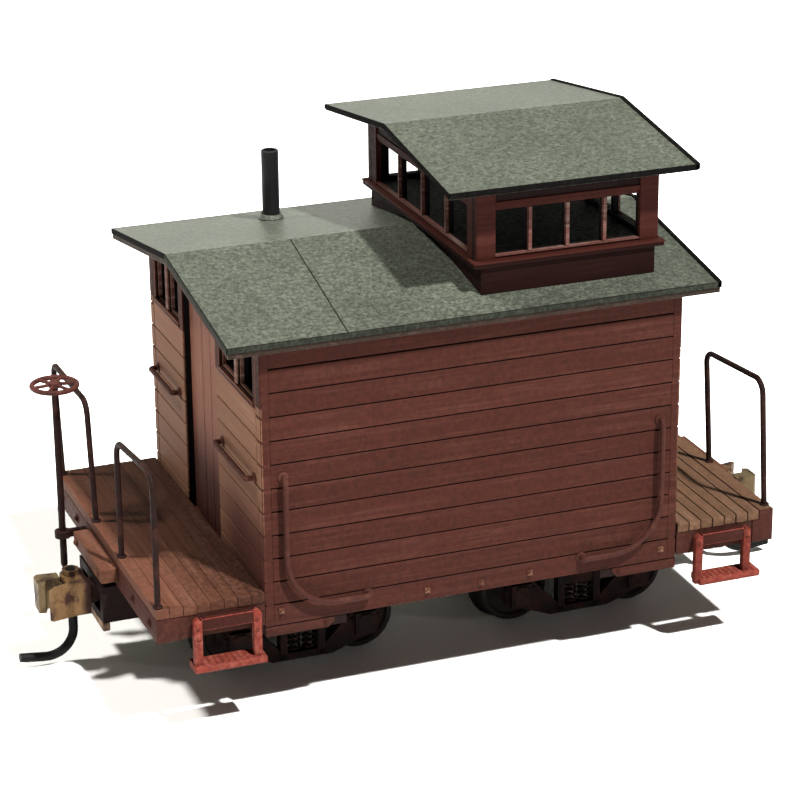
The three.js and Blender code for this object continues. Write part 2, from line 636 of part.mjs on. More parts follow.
function truckFrame() {
  const { halfBase, frameInner } = TRUCK;
  const { halfWidth: bolsterHalf, bottom, top } = TRUCK_BOLSTER;
  const { halfWidth, halfHeight, inner, outer, bearing, bearingEnd } = JOURNAL;
  const axleZ = WHEEL.flange;
  const pieces = [
    box([-bolsterHalf, bolsterHalf], [-frameInner - 0.1, frameInner + 0.1], [bottom, top]),
    post(0, 0, [top - 0.1, CENTRE_PLATE.top], CENTRE_PLATE.radius),
  ];
  const bearings = [];
  for (const { sy } of SIDES) {
    pieces.push(sideFrame(sy));
    for (const axle of [-halfBase, halfBase]) {
      const xs = [axle - halfWidth, axle + halfWidth];
      pieces.push(box(xs, [sy * inner, sy * outer], [axleZ - halfHeight, axleZ + halfHeight]));
      const depth = bearingEnd - inner + 1;
      const hole = new THREE.CylinderGeometry(bearing, bearing, depth, 12);
      bearings.push(hole.translate(axle, sy * (bearingEnd - depth / 2), axleZ));
    }
  }
  const kingPinHole = post(0, 0, [bottom - 1, CENTRE_PLATE.top + 1], KING_PIN.radius + 0.2);
  return cut(join(...pieces), kingPinHole, ...bearings);
}

function wheelset() {
  const { tread, flange, outer, flangeOuter, inner } = WHEEL;
  const { radius, endRadius, shoulder, tip } = AXLE;
  const half = [
    [radius, 0],
    [radius, inner],
    [flange, inner],
    [flange, flangeOuter - 0.15],
    [tread, flangeOuter],
    [tread - 0.06, outer],
    [endRadius + 0.02, outer],
    [endRadius, shoulder],
    [0, tip],
  ];
  const mirrored = half.slice(1).toReversed().map(([r, y]) => [r, -y]);
  const profile = [...mirrored, ...half].map(([r, y]) => new THREE.Vector2(r, y));
  return new THREE.LatheGeometry(profile, 24).translate(0, 0, flange);
}

function kingPin() {
  const { radius, head, headHeight } = KING_PIN;
  const under = TRUCK_BOLSTER.bottom - GAP;
  const low = under - headHeight;
  const top = FLOOR.bottom - GAP;
  return turned([[0, low], [head, low], [head, under], [radius, under], [radius, top], [0, top]], 0, 0, 16);
}

function addTrucks() {
  for (const { end, sx } of ENDS) {
    const centre = sx * TRUCK.x;
    add("truck_frame_" + end, truckFrame().translate(centre, 0, 0), underframeBrown);
    add("king_pin_" + end, kingPin().translate(centre, 0, 0), pinSteel);
    for (const [place, offset] of [["inner", -sx], ["outer", sx]]) {
      const x = centre + offset * TRUCK.halfBase;
      add("wheelset_" + end + "_" + place, wheelset().translate(x, 0, 0), blackenedSteel);
    }
  }
}

addUnderframe();
addCabin();
addCupola();
addHandholdsAndSteps();
addHandBrake();
addCouplers();
addTrucks();

export default caboose;
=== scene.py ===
"""Looks of the HO model caboose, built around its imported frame.

Lengths are in millimetres until a piece is finished, where its mesh is turned into metres. The car's length
is X, with the hand-brake end at -X, and Z is up. A piece for an end of the car is drawn for the +X end and
takes a half turn about Z for the other one; a piece for a side is drawn for the +Y side and mirrored. The
wires of the grab irons and railings are drawn in place.
"""

import math
import random

import bmesh
import bpy
from mathutils import Matrix, Vector


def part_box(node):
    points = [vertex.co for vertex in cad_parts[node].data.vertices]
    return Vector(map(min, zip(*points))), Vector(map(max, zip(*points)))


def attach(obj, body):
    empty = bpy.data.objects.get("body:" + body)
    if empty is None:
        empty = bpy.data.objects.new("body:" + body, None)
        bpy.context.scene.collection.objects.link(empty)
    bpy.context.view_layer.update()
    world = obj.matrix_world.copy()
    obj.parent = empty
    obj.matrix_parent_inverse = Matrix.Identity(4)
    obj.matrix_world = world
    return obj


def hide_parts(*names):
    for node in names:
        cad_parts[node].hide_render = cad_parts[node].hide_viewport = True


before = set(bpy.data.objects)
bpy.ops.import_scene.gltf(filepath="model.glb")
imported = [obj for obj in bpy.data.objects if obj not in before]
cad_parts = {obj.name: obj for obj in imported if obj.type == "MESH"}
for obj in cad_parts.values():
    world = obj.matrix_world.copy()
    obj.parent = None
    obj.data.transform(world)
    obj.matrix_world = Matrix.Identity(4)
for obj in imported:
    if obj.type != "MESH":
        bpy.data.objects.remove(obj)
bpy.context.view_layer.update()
chance = random.Random(7)

MM = 0.001
ENDS = (("brake_end", -1), ("cupola_end", 1))
SIDES = (("right", -1), ("left", 1))

# ---- driving dimensions that the frame's boxes don't hold, in millimetres ----

BOARD = {"first": 8.68, "pitch": 1.746, "groove": 0.1, "depth": 0.14, "lap": 0.04}
CORNER_STRIP = 0.65
WINDOW = {"bottom": 23.4, "top": 27.1, "outer": 11.7, "margin": 0.9, "mullion": 0.6}
# Where a door's boards meet, as shares of its width, and how far each board stands out of the door.
DOOR = {"joints": (0.0, 0.195, 0.44, 0.68, 0.86, 1.0), "levels": (-0.14, 0.0, 0.0, 0.0, 0.12), "gap": 0.04}
SASH = {"width": 0.1, "depth": 0.3, "recess": 0.25}
# How many planks each platform has, and how much painted shade darkens the planks by the brake end's door.
PLANKS = {"brake_end": 8, "cupola_end": 7, "painted_door_shade": 0.6}
SEAM = {"ridge": -8.95, "eave": -9.7, "width": 0.09}
ROOF_DROP = {"main_roof": 2.3, "cupola_roof": 1.7}
ROOF_SHEET = {"main_roof": 0.3, "cupola_roof": 0.25}
ROOF_EDGING = {"width": 0.3, "rise": 0.1}
CUPOLA_WINDOW = {"bottom": 31.55, "top": 34.75, "side": (2.46, 2.84), "end": (4.1, 4.6)}
# In a cupola wall: the painted layer's thickness, the sill under the panes, and two rails' tops above them.
CUPOLA_TRIM = {"painted": 0.42, "sill": 0.12, "rail": 0.2, "header": 0.62}
SILL_PLATE = {"ends": (10.7, 15.8), "bottom": 6.3, "chamfer": 0.45}
MULLION = 0.155
GRAB = {"wire": 0.2, "tight_bend": 0.25, "wide_bend": 3.7}
RAIL = {"x": 23.4, "wire": 0.22, "flange": 0.27}
RAILINGS = {
    "brake_end_right": {"legs": (3.75, 12.85), "tops": (18.7, 19.7), "bend": 1.3, "lean": 0.0},
    "brake_end_left": {"legs": (3.1, 12.7), "tops": (19.2, 18.9), "bend": 1.0, "lean": 0.3},
    "cupola_end_right": {"legs": (3.55, 12.5), "tops": (18.9, 19.7), "bend": 1.0, "lean": -0.55},
    "cupola_end_left": {"legs": (3.55, 12.5), "tops": (18.9, 19.7), "bend": 1.0, "lean": -0.55},
}
STEP = {"strap": 0.6, "bar": 0.55, "lintel": 0.95, "ribs": 11}
# The middle and the half width of each end's hoops, and then of its treads.
STEP_PLACES = {"brake_end": ((18.75, 2.45), (18.65, 2.6)), "cupola_end": ((19.35, 2.25), (19.85, 2.45))}
# Bolts: on the end sills, their places in Y and one height; on the sides, a place in X and a height each.
SILL_BOLTS = {"sides": (-7.6, 7.6, -11.8, 11.8), "z": 8.25}
BOLTS = ((-14.6, 8.15), (-3.7, 7.85), (0.4, 7.75), (4.2, 7.85), (14.6, 7.95))
BRAKE = {"hub_rise": 0.35, "collar": 2.85, "rim_wire": 0.19, "spokes": 6, "spoke_wire": 0.13}
TRIP_PIN = {"low": 0.5, "tip": 0.95, "end": 30.2, "bend": 2.0}
# A truck's lids, caps and columns are a half width or place in X and two heights. Its springs are two
# heights, a radius and a count of turns.
TRUCK_PARTS = {
    "frame": 6.9, "springs": 6.5, "axle": 4.8, "bolt_z": 3.4,
    "lid": (0.66, 2.35, 3.7), "cap": (0.4, 3.55, 3.85), "column": (1.45, 1.2, 4.95),
    "spring": (1.5, 3.2, 0.4, 4),
}
WIRE_SIDES = 14


# ---- materials ----


class Nodes:
    """Short calls that add nodes to one tree, with one kind of coordinates."""

    def __init__(self, tree, coordinates):
        self.tree = tree
        self.place = self.node("ShaderNodeTexCoord").outputs[coordinates]

    def node(self, kind, **settings):
        made = self.tree.nodes.new(kind)
        for key, value in settings.items():
            setattr(made, key, value)
        return made

    def put(self, source, socket):
        """Sets a socket to a number or colour, or links it to another node's output."""
        if isinstance(source, bpy.types.NodeSocket):
            self.tree.links.new(source, socket)
        else:
            socket.default_value = source

    def math(self, operation, a, b):
        made = self.node("ShaderNodeMath", operation=operation)
        self.put(a, made.inputs[0])
        self.put(b, made.inputs[1])
        return made.outputs[0]

    def spread(self, value, low, high, to_low=0.0, to_high=1.0):
        """The value moved from one range to another, and held inside it."""
        made = self.node("ShaderNodeMapRange", interpolation_type="SMOOTHSTEP")
        self.put(value, made.inputs["Value"])
        for socket, number in zip(("From Min", "From Max", "To Min", "To Max"), (low, high, to_low, to_high)):
            made.inputs[socket].default_value = number
        return made.outputs["Result"]

    def axis(self, name):
        split = self.node("ShaderNodeSeparateXYZ")
        self.put(self.place, split.inputs[0])
        return split.outputs[name]


class Recipe(Nodes):
    """A node material whose colour, roughness and bump come from procedural noise."""

    def __init__(self, name):
        self.material = bpy.data.materials.new(name)
        self.material.use_nodes = True
        super().__init__(self.material.node_tree, "Object")
        self.shader = self.tree.nodes["Principled BSDF"]

    def noise(self, per_metre, detail=3.0, rough=0.55):
        """Noise between 0 and 1. per_metre is one number, or three to stretch it along an axis."""
        scale = per_metre if isinstance(per_metre, tuple) else (per_metre,) * 3
        stretch = self.node("ShaderNodeMapping")
        stretch.inputs["Scale"].default_value = scale
        self.put(self.place, stretch.inputs["Vector"])
        made = self.node("ShaderNodeTexNoise")
        for socket, number in (("Scale", 1.0), ("Detail", detail), ("Roughness", rough)):
            made.inputs[socket].default_value = number
        self.put(stretch.outputs["Vector"], made.inputs["Vector"])
        return made.outputs["Fac"]

    def mix(self, share, a, b):
        made = self.node("ShaderNodeMix", data_type="RGBA")
        self.put(share, made.inputs["Factor"])
        self.put(colour(a), made.inputs["A"])
        self.put(colour(b), made.inputs["B"])
        return made.outputs["Result"]

    def tone(self):
        """The lightness stored on a board's faces, which on the brake end's planks also holds painted shade;
        0 where a mesh has none.
        """
        return self.node("ShaderNodeAttribute", attribute_name="tone").outputs["Fac"]

    def brighten(self, shade, amount):
        made = self.node("ShaderNodeHueSaturation")
        self.put(shade, made.inputs["Color"])
        self.put(self.math("ADD", amount, 1.0), made.inputs["Value"])
        return made.outputs["Color"]

    def finish(self, shade, roughness, bump, bump_depth, metallic=0.0, specular=0.3):
        self.put(shade, self.shader.inputs["Base Color"])
        self.put(roughness, self.shader.inputs["Roughness"])
        self.shader.inputs["Metallic"].default_value = metallic
        self.shader.inputs["Specular IOR Level"].default_value = specular
        relief = self.node("ShaderNodeBump")
        relief.inputs["Strength"].default_value = 1.0
        relief.inputs["Distance"].default_value = bump_depth * MM
        self.put(bump, relief.inputs["Height"])
        self.put(relief.outputs["Normal"], self.shader.inputs["Normal"])
        return self.material


def colour(value):
    """A red, green and blue triple as a colour with alpha; anything else as it is."""
    return (*value, 1.0) if isinstance(value, tuple) and len(value) == 3 else value


# Grain, as how fine the noise is along X, Y and Z, per metre.
LONG = (110.0, 110.0, 3600.0)
UPRIGHT = (3000.0, 3000.0, 90.0)
CROSSWISE = (3000.0, 110.0, 3000.0)
EVEN = 2600.0


def wood_paint(name, base, worn, grime_and_shade, grain=LONG, wear=0.5, lighter_blotches=0.0, stain_and_shade=None):
    """Matt paint on scribed wood: grain along the board, lighter worn patches, and dirt low down. The last
    argument, when given, is the heights between which a darker wash of painted shade fades out, and the
    places in Y between which it ends; the wash takes the dark colour that the dirt uses. The argument before
    it mixes lighter blotches of the worn colour in."""
    r = Recipe(name)
    streaks = r.noise(grain, 4.0, 0.6)
    blotches = r.noise(230.0, 3.0)
    grit = r.noise(3300.0, 2.0)
    worn_share = r.math("MULTIPLY", r.spread(streaks, 0.42, 0.72), r.spread(blotches, 0.35, 0.7, 0.25, 1.0))
    shade = r.mix(r.math("MULTIPLY", worn_share, wear), base, worn)
    if lighter_blotches:
        shade = r.mix(r.spread(r.noise(90.0, 2.0), 0.3, 0.7, lighter_blotches * 0.6, lighter_blotches), shade, worn)
    low = r.spread(r.axis("Z"), 0.0065, 0.013, 0.34, 0.0)
    shade = r.mix(r.math("MULTIPLY", low, r.spread(blotches, 0.3, 0.65)), shade, grime_and_shade)
    # Painted shade: a darker wash low down, fading out upwards and, where places in Y are given, towards +Y.
    if stain_and_shade:
        heights, sides = stain_and_shade
        painted_shade_wash = r.spread(r.axis("Z"), *heights, 0.92, 0.0)
        if sides:
            painted_shade_wash = r.math("MULTIPLY", painted_shade_wash, r.spread(r.axis("Y"), *sides, 1.0, 0.0))
        shade = r.mix(painted_shade_wash, shade, grime_and_shade)
    speckle = r.spread(grit, 0.3, 0.7, -0.17, 0.17)
    shade = r.brighten(shade, r.math("ADD", speckle, r.tone()))
    rough = r.spread(grit, 0.3, 0.7, 0.62, 0.82)
    relief = r.math("ADD", r.math("MULTIPLY", streaks, 0.7), r.math("MULTIPLY", grit, 0.5))
    return r.finish(shade, rough, relief, 0.035, specular=0.06)


def roof_finish(name, base, light, dark, roughness=(0.42, 0.62), specular=0.56):
    """Gritty roofing felt, in a grey green that is mottled both finely and in wide patches."""
    r = Recipe(name)
    grit = r.noise(4200.0, 3.0, 0.7)
    coarse = r.noise(1500.0, 3.0, 0.6)
    patches = r.noise(120.0, 3.0, 0.5)
    shade = r.mix(r.spread(grit, 0.32, 0.68), dark, light)
    shade = r.mix(0.55, base, shade)
    shade = r.mix(r.spread(coarse, 0.52, 0.75, 0.0, 0.35), shade, light)
    shade = r.brighten(shade, r.spread(patches, 0.3, 0.7, -0.12, 0.1))
    shade = r.brighten(shade, r.spread(r.noise(2600.0, 1.0), 0.35, 0.65, -0.22, 0.22))
    relief = r.math("ADD", grit, coarse)
    return r.finish(shade, r.spread(grit, 0.3, 0.7, *roughness), relief, 0.03, specular=specular)


def metal_finish(name, base, stain_and_shade, share, roughness, metallic, specular=0.2, painted_shade_within=None):
    """Painted, blackened or bare metal with stained patches. Where a distance from the middle of the car is
    given, the metal nearer the middle than it takes the dark colour of the stained patches, as painted shade,
    and shows its own colour only beyond it."""
    r = Recipe(name)
    patches = r.noise(700.0, 3.0, 0.6)
    grit = r.noise(3800.0, 2.0)
    shade = r.mix(r.spread(patches, 0.62 - share, 0.78 - share), base, stain_and_shade)
    if painted_shade_within:
        along = r.math("ABSOLUTE", r.axis("X"), 0.0)
        shade = r.mix(r.spread(along, painted_shade_within - 0.5 * MM, painted_shade_within, 1.0, 0.0), shade, stain_and_shade)
    shade = r.brighten(shade, r.spread(grit, 0.3, 0.7, -0.14, 0.14))
    rough = r.spread(patches, 0.35, 0.65, roughness, min(1.0, roughness + 0.2))
    return r.finish(shade, rough, grit, 0.02, metallic, specular)


SIDING = wood_paint("siding_red", (0.035, 0.01, 0.0068), (0.074, 0.027, 0.0195), (0.021, 0.008, 0.006))
# Painted light: the end walls get the sides' red paint made much lighter, with lighter blotches mixed in,
# standing in for the left lamp's light on them. The last argument paints shade low on the halves of both end
# walls towards -Y.
END_SIDING = wood_paint(
    "end_siding", (0.1, 0.042, 0.024), (0.165, 0.09, 0.055), (0.035, 0.01, 0.007), LONG, 0.7, 0.3,
    ((0.0125, 0.0175), (-0.008, -0.002)),
)
# Painted light: the doors are coloured lighter than the side siding, like the end walls, and the last
# argument paints shade over their lower part.
DOOR_PAINT = wood_paint(
    "door_red", (0.115, 0.044, 0.029), (0.19, 0.1, 0.066), (0.025, 0.007, 0.006), UPRIGHT, 0.6, 0.1,
    ((0.0125, 0.0185), None),
)
DOOR_GAP = wood_paint("door_gap", (0.018, 0.008, 0.007), (0.03, 0.014, 0.012), (0.012, 0.006, 0.006), UPRIGHT)
TRIM = wood_paint("trim_red", (0.027, 0.006, 0.0042), (0.055, 0.018, 0.013), (0.015, 0.007, 0.006))
SILL_PAINT = wood_paint(
    "sill_red", (0.034, 0.0105, 0.0075), (0.08, 0.03, 0.022), (0.02, 0.009, 0.007), CROSSWISE
)
SKIRT = wood_paint("skirt_red", (0.0085, 0.0022, 0.0018), (0.018, 0.006, 0.005), (0.006, 0.002, 0.0015))
# Painted shade: the cupola's top band and its gables, under the roof's overhang, are near-black.
HEADER = wood_paint("cupola_header", (0.0055, 0.002, 0.0018), (0.014, 0.006, 0.005), (0.005, 0.0025, 0.002))
# Painted highlight: a light, worn pink on the sashes, the mullions and the strips under the cupola's panes,
# standing in for light catching the window frames.
SASH_PAINT = wood_paint("sash_red", (0.08, 0.033, 0.027), (0.2, 0.145, 0.125), (0.02, 0.01, 0.01), LONG, 0.9)
BRAKE_DECK = wood_paint(
    "brake_deck", (0.071, 0.027, 0.016), (0.12, 0.058, 0.038), (0.026, 0.013, 0.01), CROSSWISE, 0.7
)
CUPOLA_DECK = wood_paint(
    "cupola_deck", (0.084, 0.044, 0.025), (0.14, 0.08, 0.052), (0.036, 0.019, 0.012), CROSSWISE, 0.8
)
STEP_PAINT = wood_paint(
    "step_red", (0.13, 0.023, 0.016), (0.23, 0.076, 0.056), (0.055, 0.014, 0.009), EVEN, 0.8
)
UNDERSIDE = wood_paint("underframe", (0.008, 0.0038, 0.0032), (0.018, 0.009, 0.008), (0.007, 0.004, 0.004))
# Painted shade: the insides of the walls, the reveals by the cupola's mullions and the floor under the cupola
# are near-black, standing in for the shade inside the car.
INSIDE = wood_paint("inside_dark", (0.003, 0.002, 0.002), (0.006, 0.004, 0.004), (0.003, 0.002, 0.002))
ROOFING = roof_finish("roof_felt", (0.038, 0.044, 0.032), (0.075, 0.085, 0.063), (0.018, 0.021, 0.016))
ROOF_EDGE = roof_finish(
    "roof_edge", (0.003, 0.0028, 0.0026), (0.006, 0.0055, 0.005), (0.0018, 0.0016, 0.0016), (0.85, 0.95), 0.03
)
ROOF_LIP = roof_finish(
    "roof_lip", (0.015, 0.017, 0.013), (0.028, 0.03, 0.023), (0.007, 0.008, 0.0065), (0.75, 0.9), 0.05
)
ROOF_BOARD = wood_paint(
    "roof_board", (0.02, 0.013, 0.01), (0.05, 0.035, 0.028), (0.01, 0.008, 0.006), CROSSWISE, 0.8
)
WIRE = metal_finish("wire_brown", (0.009, 0.0032, 0.0026), (0.022, 0.008, 0.006), 0.12, 0.6, 0.0, 0.08)
GRAB_WIRE = metal_finish("grab_red", (0.034, 0.0105, 0.0075), (0.055, 0.02, 0.014), 0.12, 0.6, 0.0, 0.08)
HAND_WHEEL = metal_finish("wheel_red", (0.05, 0.013, 0.0095), (0.025, 0.008, 0.006), 0.12, 0.55, 0.0, 0.12)
STACK = metal_finish("stack_black", (0.003, 0.003, 0.0035), (0.008, 0.007, 0.006), 0.1, 0.55, 0.0, 0.25)
BOLT = metal_finish("bolt_brass", (0.15, 0.072, 0.042), (0.07, 0.026, 0.016), 0.2, 0.4, 0.3)
# Painted shade: the rear of each coupler head, towards the shank, takes the dark patch colour.
BRASS = metal_finish(
    "coupler_brass", (0.115, 0.064, 0.027), (0.03, 0.012, 0.009), 0.16, 0.5, 0.4, painted_shade_within=0.0259
)
KNUCKLE = metal_finish("knuckle_brass", (0.09, 0.062, 0.029), (0.032, 0.018, 0.01), 0.14, 0.5, 0.4)
STRIP = metal_finish("brass_strip", (0.15, 0.095, 0.055), (0.06, 0.03, 0.02), 0.1, 0.5, 0.3)
BLACK_STEEL = metal_finish(
    "blackened_steel", (0.003, 0.0028, 0.0028), (0.008, 0.006, 0.005), 0.1, 0.6, 0.0, 0.1
)
TREAD_STEEL = metal_finish(
    "wheel_steel", (0.005, 0.0032, 0.0028), (0.012, 0.006, 0.0045), 0.14, 0.6, 0.0, 0.1
)
PIN_STEEL = metal_finish("pin_steel", (0.2, 0.19, 0.18), (0.1, 0.07, 0.05), 0.1, 0.35, 0.9)
TRUCK = metal_finish("truck_brown", (0.0045, 0.0024, 0.002), (0.012, 0.005, 0.004), 0.16, 0.7, 0.0, 0.06)


# ---- mesh code ----


def circle(count, radius, start=0.0):
    """Points evenly spaced round a circle."""
    angles = [start + 2 * math.pi * k / count for k in range(count)]
    return [(radius * math.cos(angle), radius * math.sin(angle)) for angle in angles]


def joined(n):
    """The faces of a solid whose points are one outline of n points, and then its other end."""
    faces = [tuple(range(n)), tuple(range(2 * n - 1, n - 1, -1))]
    return faces + [(i, (i + 1) % n, n + (i + 1) % n, n + i) for i in range(n)]


class Piece:
    """Gathers closed solids, in millimetres, into one mesh."""

    def __init__(self, turn=1, flip=1):
        self.bm = bmesh.new()
        self.tones = self.bm.faces.layers.float.new("tone")
        self.turn = turn
        self.flip = flip

    def solid(self, points, faces, bevel=0.0, steps=1, tone=0.0, skin=0):
        """One closed solid from points and faces. Its hard edges are rounded by the bevel."""
        verts = [self.bm.verts.new((self.turn * x, self.turn * self.flip * y, z)) for x, y, z in points]
        made = [self.bm.faces.new([verts[i] for i in face]) for face in faces]
        for face in made:
            face[self.tones] = tone
            face.material_index = skin
        if bevel > 0:
            bmesh.ops.recalc_face_normals(self.bm, faces=made)
            edges = {edge for face in made for edge in face.edges}
            hard = [edge for edge in edges if edge.calc_face_angle(0.0) > math.radians(25)]
            shape = {"offset": bevel, "segments": steps, "profile": 0.5, "clamp_overlap": True}
            bmesh.ops.bevel(self.bm, geom=hard, affect="EDGES", **shape)

    def prism(self, axis, outline, span, bevel=0.03, steps=1, tone=0.0, skin=0):
        """An outline drawn out along an axis. The outline is in the other two axes, in their usual order."""
        low, high = min(span), max(span)
        order = {"x": (2, 0, 1), "y": (0, 2, 1), "z": (0, 1, 2)}[axis]
        points = []
        for end in (low, high):
            for a, b in outline:
                triple = (a, b, end)
                points.append(tuple(triple[i] for i in order))
        self.solid(points, joined(len(outline)), bevel, steps, tone, skin)

    def box(self, xs, ys, zs, bevel=0.03, steps=1, tone=0.0, skin=0):
        outline = [(xs[0], ys[0]), (xs[1], ys[0]), (xs[1], ys[1]), (xs[0], ys[1])]
        self.prism("z", outline, zs, bevel, steps, tone, skin)

    def lathe(self, axis, centre, profile, sides=40, skin=0):
        """A profile of (radius, place along the axis) turned about the axis. It starts and ends on the
        axis, or closes on itself."""
        rings = []
        points = []
        for radius, along in profile:
            ring = []
            for a, b in circle(sides if radius else 1, radius):
                local = {"x": (along, a, b), "y": (a, along, b), "z": (a, b, along)}[axis]
                ring.append(len(points))
                points.append(tuple(c + d for c, d in zip(centre, local)))
            rings.append(ring)
        loop = profile[0][0] != 0
        pairs = list(zip(rings, rings[1:])) + ([(rings[-1], rings[0])] if loop else [])
        faces = []
        for one, two in pairs:
            for k in range(sides):
                quad = [ring[i % len(ring)] for ring, i in ((one, k), (one, k + 1), (two, k + 1), (two, k))]
                faces.append(tuple(dict.fromkeys(quad)))
        self.solid(points, faces, skin=skin)

    def tube(self, route, radius, sides=WIRE_SIDES, closed=False, skin=0):
        """Round wire along a route of points."""
        stops = [Vector(p) for p in route]
        count = len(stops)
        tangents = []
        for i in range(count):
            before = stops[i - 1] if closed or i else stops[0]
            after = stops[(i + 1) % count] if closed or i < count - 1 else stops[-1]
            tangents.append((after - before).normalized())
        side = tangents[0].orthogonal().normalized()
        points = []
        for stop, tangent in zip(stops, tangents):
            side = (side - tangent * side.dot(tangent)).normalized()
            other = tangent.cross(side)
            for a, b in circle(sides, radius):
                points.append(tuple(stop + side * a + other * b))
        links = count if closed else count - 1
        faces = []
        for i in range(links):
            for k in range(sides):
                a, b = i * sides, ((i + 1) % count) * sides
                faces.append((a + k, a + (k + 1) % sides, b + (k + 1) % sides, b + k))
        if not closed:
            faces.append(tuple(range(sides)))
            faces.append(tuple((count - 1) * sides + k for k in range(sides)))
        self.solid(points, faces, skin=skin)

    def ring(self, axis, centre, radius, wire, sides=10, steps=36):
        profile = [(radius + a, b) for a, b in circle(sides, wire)]
        self.lathe(axis, centre, profile, steps)

    def nut(self, axis, centre, radius, height, skin=0):
        """A square washer, a hexagonal nut and the bolt's end, facing down the axis for a minus height."""
        rise = math.copysign(1.0, height)
        i = "xyz".index(axis)
        flat = [centre[j] for j in range(3) if j != i]
        hexagon = [(flat[0] + a, flat[1] + b) for a, b in circle(6, radius, math.pi / 6)]
        wide = 1.25 * radius
        square = [(flat[0] + a * wide, flat[1] + b * wide) for a, b in ((-1, -1), (1, -1), (1, 1), (-1, 1))]
        washer = 0.3 * height
        self.prism(axis, square, (centre[i] - 0.05 * rise, centre[i] + washer), 0.02, skin=skin)
        self.prism(axis, hexagon, (centre[i], centre[i] + 0.75 * height), 0.03, skin=skin)
        profile = [(0, 0), (radius * 0.45, 0), (radius * 0.45, height - 0.05 * rise)]
        self.lathe(axis, centre, profile + [(radius * 0.3, height), (0, height)], 12, skin=skin)

    def finish(self, name, slot, skins, nodes=(), body="car_body"):
        bmesh.ops.recalc_face_normals(self.bm, faces=self.bm.faces)
        for face in self.bm.faces:
            face.smooth = True
        mesh = bpy.data.meshes.new(name)
        self.bm.to_mesh(mesh)
        self.bm.free()
        mesh.transform(Matrix.Scale(MM, 4))
        mesh.set_sharp_from_angle(angle=math.radians(28))
        for skin in skins:
            mesh.materials.append(skin)
        piece = bpy.data.objects.new(name, mesh)
        bpy.context.scene.collection.objects.link(piece)
        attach(piece, body)
        if nodes:
            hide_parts(*nodes)
        return piece


def span(node, turn=1):
    """A CAD node's box in millimetres as three (low, high) pairs, in its end's own drawing."""
    low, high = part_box(node)
    pairs = [(a / MM, b / MM) for a, b in zip(low, high)]
    if turn < 0:
        pairs[:2] = [(-b, -a) for a, b in pairs[:2]]
    return pairs


def outward(node, index):
    """The near and far distance of a node from the car's middle plane along one axis."""
    return sorted(abs(v) for v in span(node)[index])


def bent(corners, bends, steps=8):
    """A route through corners, rounded at each inner one."""
    at = [Vector(c) for c in corners]
    stops = [at[0]]
    for before, corner, after, radius in zip(at, at[1:], at[2:], bends):
        incoming = (corner - before).normalized()
        outgoing = (after - corner).normalized()
        turn = incoming.angle(outgoing)
        start = corner - incoming * radius * math.tan(turn / 2)
        axis = incoming.cross(outgoing).normalized()
        centre = start + axis.cross(incoming) * radius
        for k in range(steps + 1):
            spin = Matrix.Rotation(turn * k / steps, 3, axis)
            stops.append(centre + spin @ (start - centre))
    stops.append(at[-1])
    return stops


def dress(node, skin, bevel=0.04):
    """A CAD node that stays in view: its material, and softened edges."""
    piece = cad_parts[node]
    piece.data.materials.clear()
    piece.data.materials.append(skin)
    soften = piece.modifiers.new("soft_edges", "BEVEL")
    soften.width = bevel * MM
    soften.segments = 2
    soften.limit_method = "ANGLE"
    soften.angle_limit = math.radians(30)


def rows(bottom, top):
    """The siding boards between two heights, each with its own lightness."""
    edges = [bottom]
    z = BOARD["first"]
    while z < top - 0.4:
        if z > bottom + 0.4:
            edges.append(z)
        z += BOARD["pitch"]
    edges.append(top)
    half = BOARD["groove"] / 2
    made = []
    for low, high in zip(edges, edges[1:]):
        made.append((low + (half if low > bottom else 0), high - (half if high < top else 0)))
    return made


BOARD_TONES = [chance.uniform(-0.09, 0.09) for _ in range(40)]


def tone_of(z, shift=0):
    """One lightness for all boards of a course, so that the courses match round the car."""
    return BOARD_TONES[int((z + 2) / BOARD["pitch"] + shift) % len(BOARD_TONES)]


# ---- cabin ----


def side_wall(side, sy):
    node = "side_wall_" + side
    (x0, x1), _, (bottom, top) = span(node)
    inner, face = outward(node, 1)
    depth, lap = BOARD["depth"], BOARD["lap"]
    back = face - depth
    p = Piece(flip=sy)
    p.box((x0 + depth, x1 - depth), (inner, back), (bottom, top), 0.0, skin=1)
    edge = x1 - CORNER_STRIP
    for low, high in rows(bottom, top):
        p.box((-edge, edge), (back - lap, face), (low, high), 0.035, tone=tone_of(low))
    for sx in (-1, 1):
        p.box((sx * edge, sx * (x1 - depth + lap)), (back - lap, face), (bottom, top), 0.02, tone=-0.04)
        outer = (sx * (x1 - depth - lap), sx * x1)
        for low, high in rows(bottom, WINDOW["bottom"]):
            p.box(outer, (inner, face - 0.005), (low, high), 0.045, tone=tone_of(low), skin=2)
        p.box(outer, (inner, face - 0.005), (WINDOW["bottom"] + 0.03, top), 0.03, skin=3)
    for x, z in BOLTS:
        p.nut("y", (x, face, z), 0.17, 0.28, skin=4)
    p.finish("siding_" + side, "boxcar_red", [SIDING, INSIDE, END_SIDING, TRIM, BOLT], [node])


def pushed_core(p, node, outer, turn):
    """The CAD wall's own solid, with its outer face set back to carry the boards."""
    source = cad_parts[node].data
    copy = bmesh.new()
    copy.from_mesh(source)
    bmesh.ops.remove_doubles(copy, verts=copy.verts, dist=1e-6)
    index = {v: i for i, v in enumerate(copy.verts)}
    points = []
    for v in copy.verts:
        x, y, z = v.co.x / MM * turn, v.co.y / MM * turn, v.co.z / MM
        points.append((x - BOARD["depth"] if x > outer - 0.01 else x, y, z))
    faces = [tuple(index[v] for v in face.verts) for face in copy.faces]
    copy.free()
    p.solid(points, faces, skin=1)


def panes(y0, y1):
    """The two panes between two places, with the mullion between them."""
    pane = (y1 - y0 - WINDOW["mullion"]) / 2
    return [(y0, y0 + pane), (y1 - pane, y1)]


